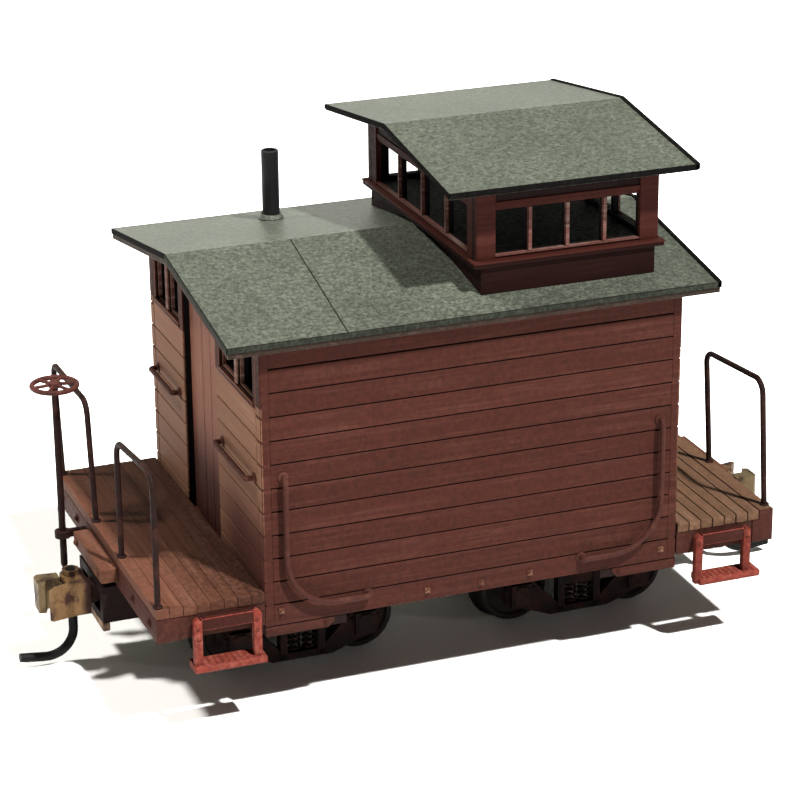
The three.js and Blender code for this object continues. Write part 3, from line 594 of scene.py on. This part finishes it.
def sash(p, face, across, heights, skin):
    """Four thin bars round one opening, set back from an end wall's face."""
    width, recess = SASH["width"], SASH["recess"]
    thick = (face - recess, face - recess - SASH["depth"])
    (a0, a1), (z0, z1) = across, heights
    bars = [((a0, a1), (z0, z0 + width)), ((a0, a1), (z1 - width * 0.7, z1))]
    bars += [((a0, a0 + width), (z0, z1)), ((a1 - width, a1), (z0, z1))]
    for along, up in bars:
        p.box(thick, along, up, 0.03, skin=skin)


def end_wall(end, sx):
    node = "end_wall_" + end
    (_, face), (left, right), (bottom, top) = span(node, sx)
    doorway = span("door_" + end, sx)
    low, high = doorway[1][0] - 0.05, doorway[1][1] + 0.05
    head = doorway[2][1] + 0.05
    back = (face - BOARD["depth"] - BOARD["lap"], face)
    sill, lintel = WINDOW["bottom"], WINDOW["top"]
    p = Piece(turn=sx)
    pushed_core(p, node, face, sx)
    for z0, z1 in rows(bottom, sill - 0.4):
        tone = tone_of(z0)
        p.box(back, (left, low), (z0, z1), 0.045, tone=tone)
        p.box(back, (high, right), (z0, z1), 0.045, tone=tone)
    fall = ROOF_DROP["main_roof"] / span("main_roof")[1][1] * right
    crown = [(left, lintel), (right, lintel), (right, top - fall), (0, top), (left, top - fall)]
    p.prism("x", crown, back, 0.03, skin=2)
    margin, outer = WINDOW["margin"], WINDOW["outer"]
    for y0, y1 in ((-outer, low - margin), (high + margin, outer)):
        p.box((back[0], face + 0.12), (y0 - 0.1, y1 + 0.1), (sill - 0.36, sill), 0.05, 2, skin=3)
        openings = panes(y0, y1)
        p.box(back, (openings[0][1], openings[1][0]), (sill, lintel), 0.05, skin=4)
        for across in openings:
            sash(p, face, across, (sill, lintel), 4)
    for y0, y1 in ((left, -outer), (low - margin, low), (high, high + margin), (outer, right)):
        p.box(back, (y0, y1), (sill - 0.38, lintel), 0.03, skin=2, tone=0.05)
    p.box((face - 0.3, face + 0.1), (low - 0.15, high + 0.15), (head, head + 0.5), 0.05, 2, skin=3)
    skins = [END_SIDING, INSIDE, TRIM, TRIM, SASH_PAINT]
    p.finish("end_siding_" + end, "boxcar_red", skins, [node])


def door(end, sx):
    node = "door_" + end
    (inner, outer), (low, high), (bottom, top) = span(node, sx)
    width = high - low
    p = Piece(turn=sx)
    p.box((inner, outer - 0.25), (low, high), (bottom, top), 0.02, skin=1)
    for a, b, level in zip(DOOR["joints"], DOOR["joints"][1:], DOOR["levels"]):
        across = (low + a * width + DOOR["gap"], low + b * width - DOOR["gap"])
        p.box((outer - 0.35, outer + level), across, (bottom, top), 0.05)
    p.finish("door_leaf_" + end, "boxcar_red", [DOOR_PAINT, DOOR_GAP], [node])


# ---- roofs ----


def roof_slab(p, corners, heights, skin, bevel=0.03):
    """A sheet over plan corners, between two functions of Y that give its underside and its top."""
    under, over = heights
    points = [(x, y, under(y)) for x, y in corners] + [(x, y, over(y)) for x, y in corners]
    p.solid(points, joined(len(corners)), bevel, skin=skin)


def roof_lines(node):
    """A roof's middle and half width in Y, and a function of Y that gives the height of its top."""
    _, (low, high), (_, ridge) = span(node)
    middle, half = (low + high) / 2, (high - low) / 2
    return middle, half, lambda y: ridge - ROOF_DROP[node] / half * abs(y - middle)


def roof_sheets(name, node, sheets, board):
    """The roofing sheets over each slope, on boards that show at the eaves and rakes."""
    (x0, x1), _, (bottom, _) = span(node)
    middle, half, top = roof_lines(node)
    under = bottom - top(middle + half)
    split = ROOF_SHEET[node]
    p = Piece()
    for sy in (-1, 1):
        edge = middle + sy * (half - 0.05)
        boards = [(x0 + 0.05, middle), (x1 - 0.05, middle), (x1 - 0.05, edge), (x0 + 0.05, edge)]
        roof_slab(p, boards, (lambda y: top(y) + under, lambda y: top(y) - split), 1, 0.02)
    for corners in sheets:
        roof_slab(p, corners, (lambda y: top(y) - split, top), 0, 0.03)
    p.finish(name, "roof_grey", [ROOFING, board], [node])


def roof_edging(name, node, skins):
    """Dark edging, flush along the eaves and rear rakes and a little proud along the front rakes. The last
    skin is on the near side's eave and rear rake."""
    (x0, x1), _, _ = span(node)
    middle, half, top = roof_lines(node)
    split, width = ROOF_SHEET[node], ROOF_EDGING["width"]
    p = Piece()
    for sy in (-1, 1):
        inner, outer = middle + sy * (half - 0.06), middle + sy * (half + 0.04)
        near = len(skins) - 1 if sy < 0 else 0
        eave = [(x0 - 0.03, inner), (x1 + 0.03, inner), (x1 + 0.03, outer), (x0 - 0.03, outer)]
        roof_slab(p, eave, (lambda y: top(y) - split - 0.1, lambda y: top(y) + 0.015), near, 0.02)
        for x, out, rise in ((x0, -0.03, 0.015), (x1, 0.04, ROOF_EDGING["rise"])):
            back = x - math.copysign(0.08 if out < 0 else width, out)
            rake = [(back, middle), (x + out, middle), (x + out, outer), (back, outer)]
            heights = (lambda y: top(y) - split - 0.1, lambda y, lift=rise: top(y) + lift)
            roof_slab(p, rake, heights, near if out < 0 else 0, 0.03)
    p.finish(name, "roof_grey", skins)


def main_roof():
    (x0, x1), _, _ = span("main_roof")
    _, half, _ = roof_lines("main_roof")
    gap = SEAM["width"] / 2
    ridge_x, eave_x = SEAM["ridge"], SEAM["eave"]
    left = [(x0, 0), (ridge_x - gap, 0), (eave_x - gap, -half), (x0, -half)]
    right = [(ridge_x + gap, 0), (x1, 0), (x1, -half), (eave_x + gap, -half)]
    far = [(x0, 0), (x1, 0), (x1, half), (x0, half)]
    roof_sheets("roof_sheets", "main_roof", (left, right, far), ROOF_BOARD)
    roof_edging("roof_edging", "main_roof", [ROOF_EDGE, ROOF_LIP])


def stack():
    (x0, x1), (y0, y1), (bottom, top) = span("smoke_stack")
    centre = ((x0 + x1) / 2, (y0 + y1) / 2, 0)
    radius = (x1 - x0) / 2
    bore, plug = radius * 0.7, bottom + 0.8
    p = Piece()
    p.lathe("z", centre, [(0, bottom), (radius, bottom), (radius, top - 0.05), (radius - 0.05, top),
                          (bore, top), (bore, plug), (0, plug)], 48)
    p.finish("stack_tube", "stack_black", [STACK], ["smoke_stack"])


# ---- cupola ----


def cupola_openings(middle, size):
    width, pitch = size
    made = []
    for place in (-1.5, -0.5, 0.5, 1.5):
        at = middle + place * pitch
        made.append((at - width / 2, at + width / 2))
    return made


def window_wall(p, axis, face, inner, across, heights, openings):
    """A wall made of posts, a sill, a header and mullions round a row of windows. The front of each is
    painted; the inside and the reveals beside each mullion are near-black painted shade, the strip under the
    panes and the mullions' faces carry the sash colour's painted highlight, and the top band under the roof
    is near-black painted shade."""
    low, high = across
    bottom, top = heights
    z0, z1 = CUPOLA_WINDOW["bottom"], CUPOLA_WINDOW["top"]
    out = math.copysign(1.0, face - inner)

    def bar(along, up, sunk=0.0, skin=0, bevel=0.03):
        front, split = face - out * sunk, face - out * CUPOLA_TRIM["painted"]
        for depth, layer, soft in (((inner, split), 2, 0.0), ((split, front), skin, bevel)):
            if axis == "x":
                p.box(depth, along, up, soft, skin=layer)
            else:
                p.box(along, depth, up, soft, skin=layer)

    row = (openings[0][0], openings[-1][1])
    sill, rail, header = z0 - CUPOLA_TRIM["sill"], z1 + CUPOLA_TRIM["rail"], z1 + CUPOLA_TRIM["header"]
    bar((low, row[0]), (bottom, top))
    bar((row[1], high), (bottom, top))
    bar(row, (bottom, sill), 0.1)
    bar(row, (sill, z0), 0.02, 1, 0.02)
    bar(row, (z1, rail), 0.14)
    bar(row, (rail, header), 0.06)
    bar(row, (header, top), 0.14, 3)
    for one, two in zip(openings, openings[1:]):
        middle = (one[1] + two[0]) / 2
        bar((one[1], middle - MULLION), (z0, z1), 0.3, 2)
        bar((middle - MULLION, middle + MULLION), (z0, z1), 0.12, 1)
        bar((middle + MULLION, two[0]), (z0, z1), 0.3, 2)


def cupola():
    skins = [TRIM, SASH_PAINT, INSIDE, HEADER]
    middle, half, _ = roof_lines("cupola_roof")
    for side, sy in SIDES:
        node = "cupola_side_" + side
        across, _, heights = span(node)
        inner, face = outward(node, 1)
        p = Piece(flip=sy)
        openings = cupola_openings(sum(across) / 2, CUPOLA_WINDOW["side"])
        window_wall(p, "y", face, inner, across, heights, openings)
        p.finish("cupola_windows_" + side, "boxcar_red", skins, [node])
    for place, sign in (("rear", -1), ("front", 1)):
        node = "cupola_end_" + place
        (x0, x1), across, (bottom, top) = span(node)
        face, inner = (x0, x1) if sign < 0 else (x1, x0)
        p = Piece()
        eave = top - ROOF_DROP["cupola_roof"] / half * (across[1] - middle)
        openings = cupola_openings(middle, CUPOLA_WINDOW["end"])
        window_wall(p, "x", face, inner, across, (bottom, eave), openings)
        gable = [(across[0], eave), (across[1], eave), (middle, top)]
        # The gables take the cupola's near-black painted shade under the roof's overhang.
        p.prism("x", gable, (inner, face), 0.03, skin=3)
        p.finish("cupola_windows_" + place, "boxcar_red", skins, [node])
    cupola_sill()
    cupola_cover()


def cupola_sill():
    """The moulding round the top of the base, and a near-black floor inside the cupola as painted shade."""
    (x0, x1), (y0, y1), (_, top) = span("cupola_base")
    heights = (top - 0.16, top + 0.03)
    width, out = 0.6, 0.06
    p = Piece()
    for y, sy in ((y0, -1), (y1, 1)):
        p.box((x0 - out, x1 + out), (y - sy * width, y + sy * out), heights, 0.04, 2)
    for x, sx in ((x0, -1), (x1, 1)):
        p.box((x - sx * width, x + sx * out), (y0 + width, y1 - width), heights, 0.04, 2)
    p.box((x0 + 1.2, x1 - 1.2), (y0 + 1.3, y1 - 1.3), (top - 0.05, top + 0.06), 0.0, skin=1)
    p.finish("cupola_sill_cap", "boxcar_red", [TRIM, INSIDE])
    dress("cupola_base", SKIRT, 0.05)


def cupola_cover():
    (x0, x1), _, _ = span("cupola_roof")
    middle, half, _ = roof_lines("cupola_roof")
    sheets = []
    for edge in (middle - half, middle + half):
        sheets.append([(x0, middle), (x1, middle), (x1, edge), (x0, edge)])
    roof_sheets("cupola_roof_sheet", "cupola_roof", sheets, ROOF_EDGE)
    roof_edging("cupola_roof_edging", "cupola_roof", [ROOF_EDGE])


# ---- platforms ----


def platform(end, sx):
    node = "platform_deck_" + end
    (x0, x1), (y0, y1), (bottom, top) = span(node, sx)
    clear = sx > 0
    gap, soft = (0.09, 0.02) if clear else (0.03, 0.015)
    count = PLANKS[end]
    p = Piece(turn=sx)
    p.box((x0, x1 - 0.1), (y0 + 0.1, y1 - 0.1), (bottom, top - 0.15), 0.0, skin=1)
    pitch = (x1 - x0) / count
    for k in range(count):
        ends = chance.uniform(0.0, 0.07), chance.uniform(0.0, 0.07)
        # Painted shade on the brake end's planks, darkest by the cabin wall, where the cabin's shadow falls.
        shaded = 0.0 if clear else PLANKS["painted_door_shade"] * (1 - k / (count - 1)) ** 1.5
        tone = chance.uniform(-0.08, 0.1) - shaded
        xs = (x0 + k * pitch + gap / 2, x0 + (k + 1) * pitch - gap / 2)
        p.box(xs, (y0 + ends[0], y1 - ends[1]), (bottom + 0.05, top), soft, tone=tone)
    skin = CUPOLA_DECK if clear else BRAKE_DECK
    p.finish("planks_" + end, "deck_brown", [skin, UNDERSIDE], [node])


def end_sill(end, sx):
    xs, ys, zs = span("end_sill_" + end, sx)
    block = span("striker_block_" + end, sx)
    planks = span("platform_deck_" + end, sx)
    shoulder, edge = planks[2][0], min(planks[0][1], xs[1])
    outline = [(xs[0], zs[0]), (xs[1], zs[0]), (xs[1], zs[1])]
    if zs[1] > shoulder + 0.1:
        outline += [(edge, zs[1]), (edge, shoulder)]
    outline.append((xs[0], shoulder))
    p = Piece(turn=sx)
    p.prism("y", outline, ys, 0.06, 2)
    if zs[1] > shoulder + 0.1:
        across = (ys[0] + 0.03, ys[1] - 0.03)
        p.box((edge + 0.03, xs[1] + 0.01), across, (zs[1] - 0.2, zs[1] + 0.02), 0.04, skin=1)
    for y in SILL_BOLTS["sides"]:
        p.nut("x", (xs[1], y, SILL_BOLTS["z"]), 0.22, 0.25)
    p.finish("sill_beam_" + end, "boxcar_red", [SILL_PAINT, CUPOLA_DECK], ["end_sill_" + end])
    p = Piece(turn=sx)
    p.box(*block, 0.12, 3)
    for y in (block[1][0] + 0.9, block[1][1] - 0.9):
        p.nut("x", (block[0][1], y, sum(block[2]) / 2), 0.22, 0.25)
    p.finish("striker_" + end, "boxcar_red", [BRAKE_DECK], ["striker_block_" + end])


def sill_plates(end, sx):
    """The plates that hang below each corner of the siding, over the ends of the body bolster."""
    chamfer = SILL_PLATE["chamfer"]
    _, (_, face), (_, floor_bottom) = span("body_bolster_" + end)
    low, high = SILL_PLATE["bottom"], floor_bottom - 0.3
    x0, x1 = SILL_PLATE["ends"]
    outline = [(x0, high), (x0, low + chamfer), (x0 + chamfer, low), (x1, low), (x1, high)]
    p = Piece(turn=sx)
    for sy in (-1, 1):
        p.prism("y", outline, (sy * (face - 0.9), sy * (face + 0.01)), 0.05, 2)
        p.nut("y", (x0 + 0.6, sy * face, low + 0.5), 0.16, sy * 0.22)
    p.finish("sill_plates_" + end, "boxcar_red", [SIDING])


# ---- wires, railings and steps ----


def eyelet(p, axis, centre, wire):
    """The flange where a wire enters the wood."""
    out = math.copysign(0.12, centre["xyz".index(axis)])
    back, wide = -0.2 * out, 1.9 * wire
    profile = [(0, back), (wide, back), (wide, 0.6 * out), (wire * 1.3, out), (0, out)]
    p.lathe(axis, centre, profile, 20)


def side_grab(name, sx, sy):
    node = "side_grab_iron_" + name
    (x0, x1), _, (bottom, top) = span(node)
    wall, face = outward(node, 1)
    wire = GRAB["wire"]
    out = face - wire
    near, far = sorted((abs(x0), abs(x1)))
    x, end = far - wire, near + wire
    z0, z1 = bottom + wire, top - wire
    corners = [(x, wall, z1), (x, out, z1), (x, out, z0), (end, out, z0), (end, wall, z0)]
    p = Piece()
    bends = (GRAB["tight_bend"], GRAB["wide_bend"], GRAB["tight_bend"])
    p.tube(bent([(sx * a, sy * b, z) for a, b, z in corners], bends), wire)
    for a, z in ((x, z1), (end, z0)):
        eyelet(p, "y", (sx * a, sy * wall, z), wire)
    p.finish("grab_wire_side_" + name, "wire_brown", [GRAB_WIRE], [node])


def end_grab(name, sx):
    node = "end_grab_iron_" + name
    _, (y0, y1), (bottom, top) = span(node)
    wall, face = outward(node, 0)
    wire = (top - bottom) / 2
    out, z = face - wire, (bottom + top) / 2
    a, b = y0 + wire, y1 - wire
    corners = [(wall, a), (out, a), (out, b), (wall, b)]
    p = Piece()
    p.tube(bent([(sx * x, y, z) for x, y in corners], (GRAB["tight_bend"],) * 2), GRAB["wire"])
    for y in (a, b):
        eyelet(p, "x", (sx * wall, y, z), GRAB["wire"])
    p.finish("grab_wire_end_" + name, "wire_brown", [GRAB_WIRE], [node])


def railing(name, sx, sy):
    node = "end_railing_" + name
    foot = span(node)[2][0]
    shape = RAILINGS[name]
    (a, b), (top_a, top_b) = shape["legs"], shape["tops"]
    low_x, wire = RAIL["x"], RAIL["wire"]
    high_x = low_x + shape["lean"]
    corners = [(low_x, a, foot - 0.3), (high_x, a, top_a), (high_x, b, top_b), (low_x, b, foot - 0.3)]
    p = Piece()
    p.tube(bent([(sx * x, sy * y, z) for x, y, z in corners], (shape["bend"],) * 2), wire)
    for y in (a, b):
        p.ring("z", (sx * low_x, sy * y, foot + 0.04), RAIL["flange"], 0.1)
    p.finish("railing_wire_" + name, "wire_brown", [WIRE], [node])


def step(name, end, sx, sy):
    node = "step_" + name
    _, _, (bottom, top) = span(node)
    inner, outer = outward(node, 1)
    (hoop, hoop_half), (tread_x, tread_half) = STEP_PLACES[end]
    strap, bar, lintel = STEP["strap"], STEP["bar"], STEP["lintel"]
    near, far = hoop - hoop_half, hoop + hoop_half
    tone = -0.3 if sx > 0 else 0.0
    plate = (outer - 0.85, outer - 0.3)
    p = Piece(turn=sx, flip=sx * sy)
    for low, high in ((near, near + strap), (far - strap, far)):
        mid = (low + high) / 2
        cap = [(low, bottom + 0.1), (high, bottom + 0.1), (high, top - 0.25), (mid, top), (low, top - 0.25)]
        p.prism("y", cap, plate, 0.05, 2, tone=tone)
        p.nut("y", (mid, plate[1], top - 0.55), 0.15, 0.2)
        p.nut("y", (mid, plate[1], top - lintel - 0.5), 0.12, 0.15)
    between = (near + strap - 0.05, far - strap + 0.05)
    p.box(between, (plate[0] + 0.08, plate[1] - 0.06), (top - lintel, top - 0.06), 0.05, 2, skin=1)
    near, far = tread_x - tread_half, tread_x + tread_half
    tread = [(inner, bottom + 0.12), (inner + 0.12, bottom), (outer - 0.15, bottom), (outer, bottom + 0.15)]
    tread += [(outer, bottom + bar - 0.08), (outer - 0.08, bottom + bar), (inner, bottom + bar)]
    p.prism("x", tread, (near, far), 0.04, 1)
    pitch = (far - near - 0.3) / STEP["ribs"]
    for k in range(STEP["ribs"]):
        x = near + 0.15 + (k + 0.5) * pitch
        rib = (x - pitch * 0.28, x + pitch * 0.28)
        heights = (bottom + bar - 0.04, bottom + bar + 0.05)
        p.box(rib, (inner + 0.1, outer - 0.1), heights, 0.03, tone=chance.uniform(-0.1, 0.15))
    p.finish("step_iron_" + name, "step_red", [STEP_PAINT, TRIM], [node])


# ---- hand brake ----


def hand_brake():
    (x0, x1), (y0, y1), (bottom, top) = span("brake_staff")
    x, y = (x0 + x1) / 2, (y0 + y1) / 2
    radius = (x1 - x0) / 2
    p = Piece()
    p.lathe("z", (x, y, 0), [(0, bottom), (radius * 0.7, bottom), (radius, bottom + 0.2), (radius, top + 0.1),
                             (0, top + 0.1)], 24)
    p.ring("z", (x, y, bottom + BRAKE["collar"]), radius + 0.05, 0.09)
    p.finish("brake_rod", "wire_brown", [WIRE], ["brake_staff"], "hand_brake")
    (x0, x1), _, (low, high) = span("brake_wheel")
    wire = BRAKE["rim_wire"]
    rim = (x1 - x0) / 2 - wire
    level = high - BRAKE["hub_rise"]
    p = Piece()
    p.ring("z", (x, y, level), rim, wire, 12, 60)
    hub = [(0, low), (0.4, low), (0.46, low + 0.08), (0.46, high - 0.12), (0.34, high - 0.02), (0, high)]
    p.lathe("z", (x, y, 0), hub, 24)
    for c, s in circle(BRAKE["spokes"], 1.0):
        route = [(x + r * c, y + r * s, level + z) for r, z in ((0.3, 0.08), (0.8, 0.03), (rim, 0.0))]
        p.tube(route, BRAKE["spoke_wire"], 10)
    p.finish("brake_hand_wheel", "wire_brown", [HAND_WHEEL], ["brake_wheel"], "hand_brake")
    dress("brake_bracket", WIRE, 0.06)


# ---- couplers ----


def coupler(end, sx):
    dress("coupler_box_" + end, UNDERSIDE, 0.08)
    dress("coupler_head_" + end, BRASS, 0.07)
    dress("knuckle_" + end, KNUCKLE, 0.07)
    node = "trip_pin_" + end
    (back, _), (y0, y1), (_, top) = span(node, sx)
    wire = (y1 - y0) / 2
    x, y = back + wire, (y0 + y1) / 2
    corners = [(x, y, top), (x, y, TRIP_PIN["low"]), (TRIP_PIN["end"], y, TRIP_PIN["tip"])]
    p = Piece(turn=sx)
    p.tube(bent(corners, (TRIP_PIN["bend"],), 12), wire, 20)
    p.finish("trip_wire_" + end, "blackened_steel", [BLACK_STEEL], [node], "coupler_" + end)
    (_, front), (_, half), (low, _) = span("coupler_box_" + end, sx)
    p = Piece(turn=sx)
    p.box((front - 0.5, front + 0.05), (-half - 0.05, half + 0.05), (low - 0.65, low), 0.08, 2)
    p.finish("coupler_box_lip_" + end, "coupler_brass", [STRIP])


# ---- trucks ----


def truck(end):
    dress("truck_frame_" + end, TRUCK, 0.06)
    dress("king_pin_" + end, PIN_STEEL, 0.06)
    (x0, x1), (_, y1), _ = span("truck_frame_" + end)
    centre = (x0 + x1) / 2
    lid, cap, column = TRUCK_PARTS["lid"], TRUCK_PARTS["cap"], TRUCK_PARTS["column"]
    p = Piece()
    for sy in (-1, 1):
        outer = sy * y1
        frame_face, middle = sy * TRUCK_PARTS["frame"], sy * TRUCK_PARTS["springs"]
        for turn in (-1, 1):
            x = centre + turn * TRUCK_PARTS["axle"]
            p.box((x - lid[0], x + lid[0]), (outer - sy * 0.1, outer + sy * 0.08), lid[1:], 0.09, 2)
            p.box((x - cap[0], x + cap[0]), (outer - sy * 0.1, outer + sy * 0.16), cap[1:], 0.06, 2)
            for bolt in (-1.035, 1.035):
                p.nut("y", (x + bolt, frame_face, TRUCK_PARTS["bolt_z"]), 0.14, sy * 0.18)
        for x in (centre - column[0], centre + column[0]):
            p.box((x - 0.28, x + 0.28), (middle, frame_face + sy * 0.12), column[1:], 0.06, 2)
            for z in (column[1] + 0.05, column[2] - 0.05):
                p.nut("y", (x, frame_face + sy * 0.12, z), 0.17, sy * 0.2)
        for x in (centre - 0.55, centre + 0.55):
            p.tube(coil(x, middle, *TRUCK_PARTS["spring"]), 0.1, 8)
    p.finish("truck_fittings_" + end, "underframe_brown", [TRUCK], body="truck_" + end)


def coil(x, y, low, high, radius, turns):
    steps = turns * 16
    route = []
    for k in range(steps + 1):
        angle = 2 * math.pi * k / 16
        rise = low + (high - low) * k / steps
        route.append((x + radius * math.cos(angle), y + radius * math.sin(angle), rise))
    return route


def wheelset(name):
    node = "wheelset_" + name
    (x0, x1), (_, reach), (bottom, top) = span(node)
    x, z = (x0 + x1) / 2, (bottom + top) / 2
    flange = (top - bottom) / 2
    half = [(0.5, 0.0), (0.5, 3.2), (0.95, 3.5), (0.95, 3.85), (1.9, 4.0), (2.3, 3.82), (flange - 0.12, 3.78)]
    half += [(flange - 0.02, 3.84), (flange, 3.95), (flange - 0.08, 4.08), (2.72, 4.25), (2.65, 4.4)]
    half += [(2.59, 5.6), (2.53, 5.65), (2.22, 5.65), (2.1, 5.45), (1.25, 5.25), (0.85, 5.6), (0.45, 5.62)]
    half += [(0.43, 5.95), (0.0, reach)]
    mirrored = [(r, -y) for r, y in reversed(half[1:])]
    p = Piece()
    p.lathe("y", (x, 0, z), mirrored + half, 64)
    p.finish("wheels_" + node, "blackened_steel", [TREAD_STEEL], [node], "wheels_" + name)


# ---- the whole car ----


def build():
    for side, sy in SIDES:
        side_wall(side, sy)
    main_roof()
    stack()
    dress("stack_flashing", ROOFING, 0.05)
    cupola()
    dress("underframe_floor", SILL_PAINT, 0.05)
    dress("center_sill", UNDERSIDE, 0.05)
    hand_brake()
    for end, sx in ENDS:
        end_wall(end, sx)
        door(end, sx)
        platform(end, sx)
        end_sill(end, sx)
        dress("body_bolster_" + end, UNDERSIDE, 0.05)
        sill_plates(end, sx)
        coupler(end, sx)
        truck(end)
        for place in ("inner", "outer"):
            wheelset(end + "_" + place)
        for side, sy in SIDES:
            name = end + "_" + side
            side_grab(name, sx, sy)
            end_grab(name, sx)
            railing(name, sx, sy)
            step(name, end, sx, sy)


# ---- stage ----

# The world's strength all round, and low down behind the car, where it shines on the far roof slopes.
ROOM = 0.022
BACKDROP = 1.7
# Where the camera is, in metres, how it is turned, in radians, and its lens.
CAMERA = {"place": (-0.06951, -0.18103, 0.09222), "yaw": -0.364, "pitch": 0.37, "roll": -0.008, "lens": 126.0}


def make_floor():
    mesh = bpy.data.meshes.new("floor")
    reach = 3.0
    corners = [(-reach, -reach, 0), (reach, -reach, 0), (reach, reach, 0), (-reach, reach, 0)]
    mesh.from_pydata(corners, [], [(0, 1, 2, 3)])
    r = Recipe("floor_paper")
    shade = r.mix(r.spread(r.noise(60.0), 0.3, 0.7), (0.93, 0.93, 0.93), (0.95, 0.95, 0.945))
    mesh.materials.append(r.finish(shade, 0.9, r.noise(800.0), 0.02))
    floor = bpy.data.objects.new("floor", mesh)
    bpy.context.scene.collection.objects.link(floor)


def sun(name, towards, strength, spread, tint):
    light = bpy.data.lights.new(name, "SUN")
    light.energy = strength
    light.angle = math.radians(spread)
    light.color = tint
    lamp = bpy.data.objects.new(name, light)
    lamp.rotation_mode = "QUATERNION"
    lamp.rotation_quaternion = Vector(towards).to_track_quat("-Z", "Y")
    bpy.context.scene.collection.objects.link(lamp)


def make_lights():
    sun("key_front", (-0.24, 0.55, -1.0), 8.5, 3, (1.0, 0.985, 0.96))
    sun("lamp_left", (0.53, -0.2, -1.0), 3.6, 6, (1.0, 0.97, 0.92))
    sun("lamp_right", (-0.74, 0.66, -0.18), 0.35, 5, (1.0, 0.98, 0.95))
    world = bpy.data.worlds.new("dim_room")
    world.use_nodes = True
    glow = world.node_tree.nodes["Background"]
    glow.inputs["Color"].default_value = (0.96, 1.0, 0.86, 1.0)
    sky = Nodes(world.node_tree, "Generated")
    behind = sky.spread(sky.axis("Y"), 0.35, 0.8)
    low = sky.spread(sky.axis("Z"), 0.2, 0.5, 1.0, 0.0)
    strength = sky.spread(sky.math("MULTIPLY", behind, low), 0.0, 1.0, ROOM, BACKDROP)
    sky.put(strength, glow.inputs["Strength"])
    bpy.context.scene.world = world


def make_camera():
    yaw, pitch, roll = CAMERA["yaw"], CAMERA["pitch"], CAMERA["roll"]
    back = Vector((math.sin(yaw) * math.cos(pitch), -math.cos(yaw) * math.cos(pitch), math.sin(pitch)))
    level = Vector((math.cos(yaw), math.sin(yaw), 0.0))
    upright = back.cross(level)
    right = level * math.cos(roll) + upright * math.sin(roll)
    up = upright * math.cos(roll) - level * math.sin(roll)
    data = bpy.data.cameras.new("camera")
    data.sensor_width = 36.0
    data.lens = CAMERA["lens"]
    data.shift_x = -0.0016
    data.shift_y = 0.0003
    data.clip_start = 0.01
    data.clip_end = 20.0
    camera = bpy.data.objects.new("camera", data)
    turn = Matrix((right, up, back)).transposed().to_4x4()
    camera.matrix_world = Matrix.Translation(CAMERA["place"]) @ turn
    bpy.context.scene.collection.objects.link(camera)
    bpy.context.scene.camera = camera


build()
make_floor()
make_lights()
make_camera()
bpy.context.scene.view_settings.view_transform = "Standard"
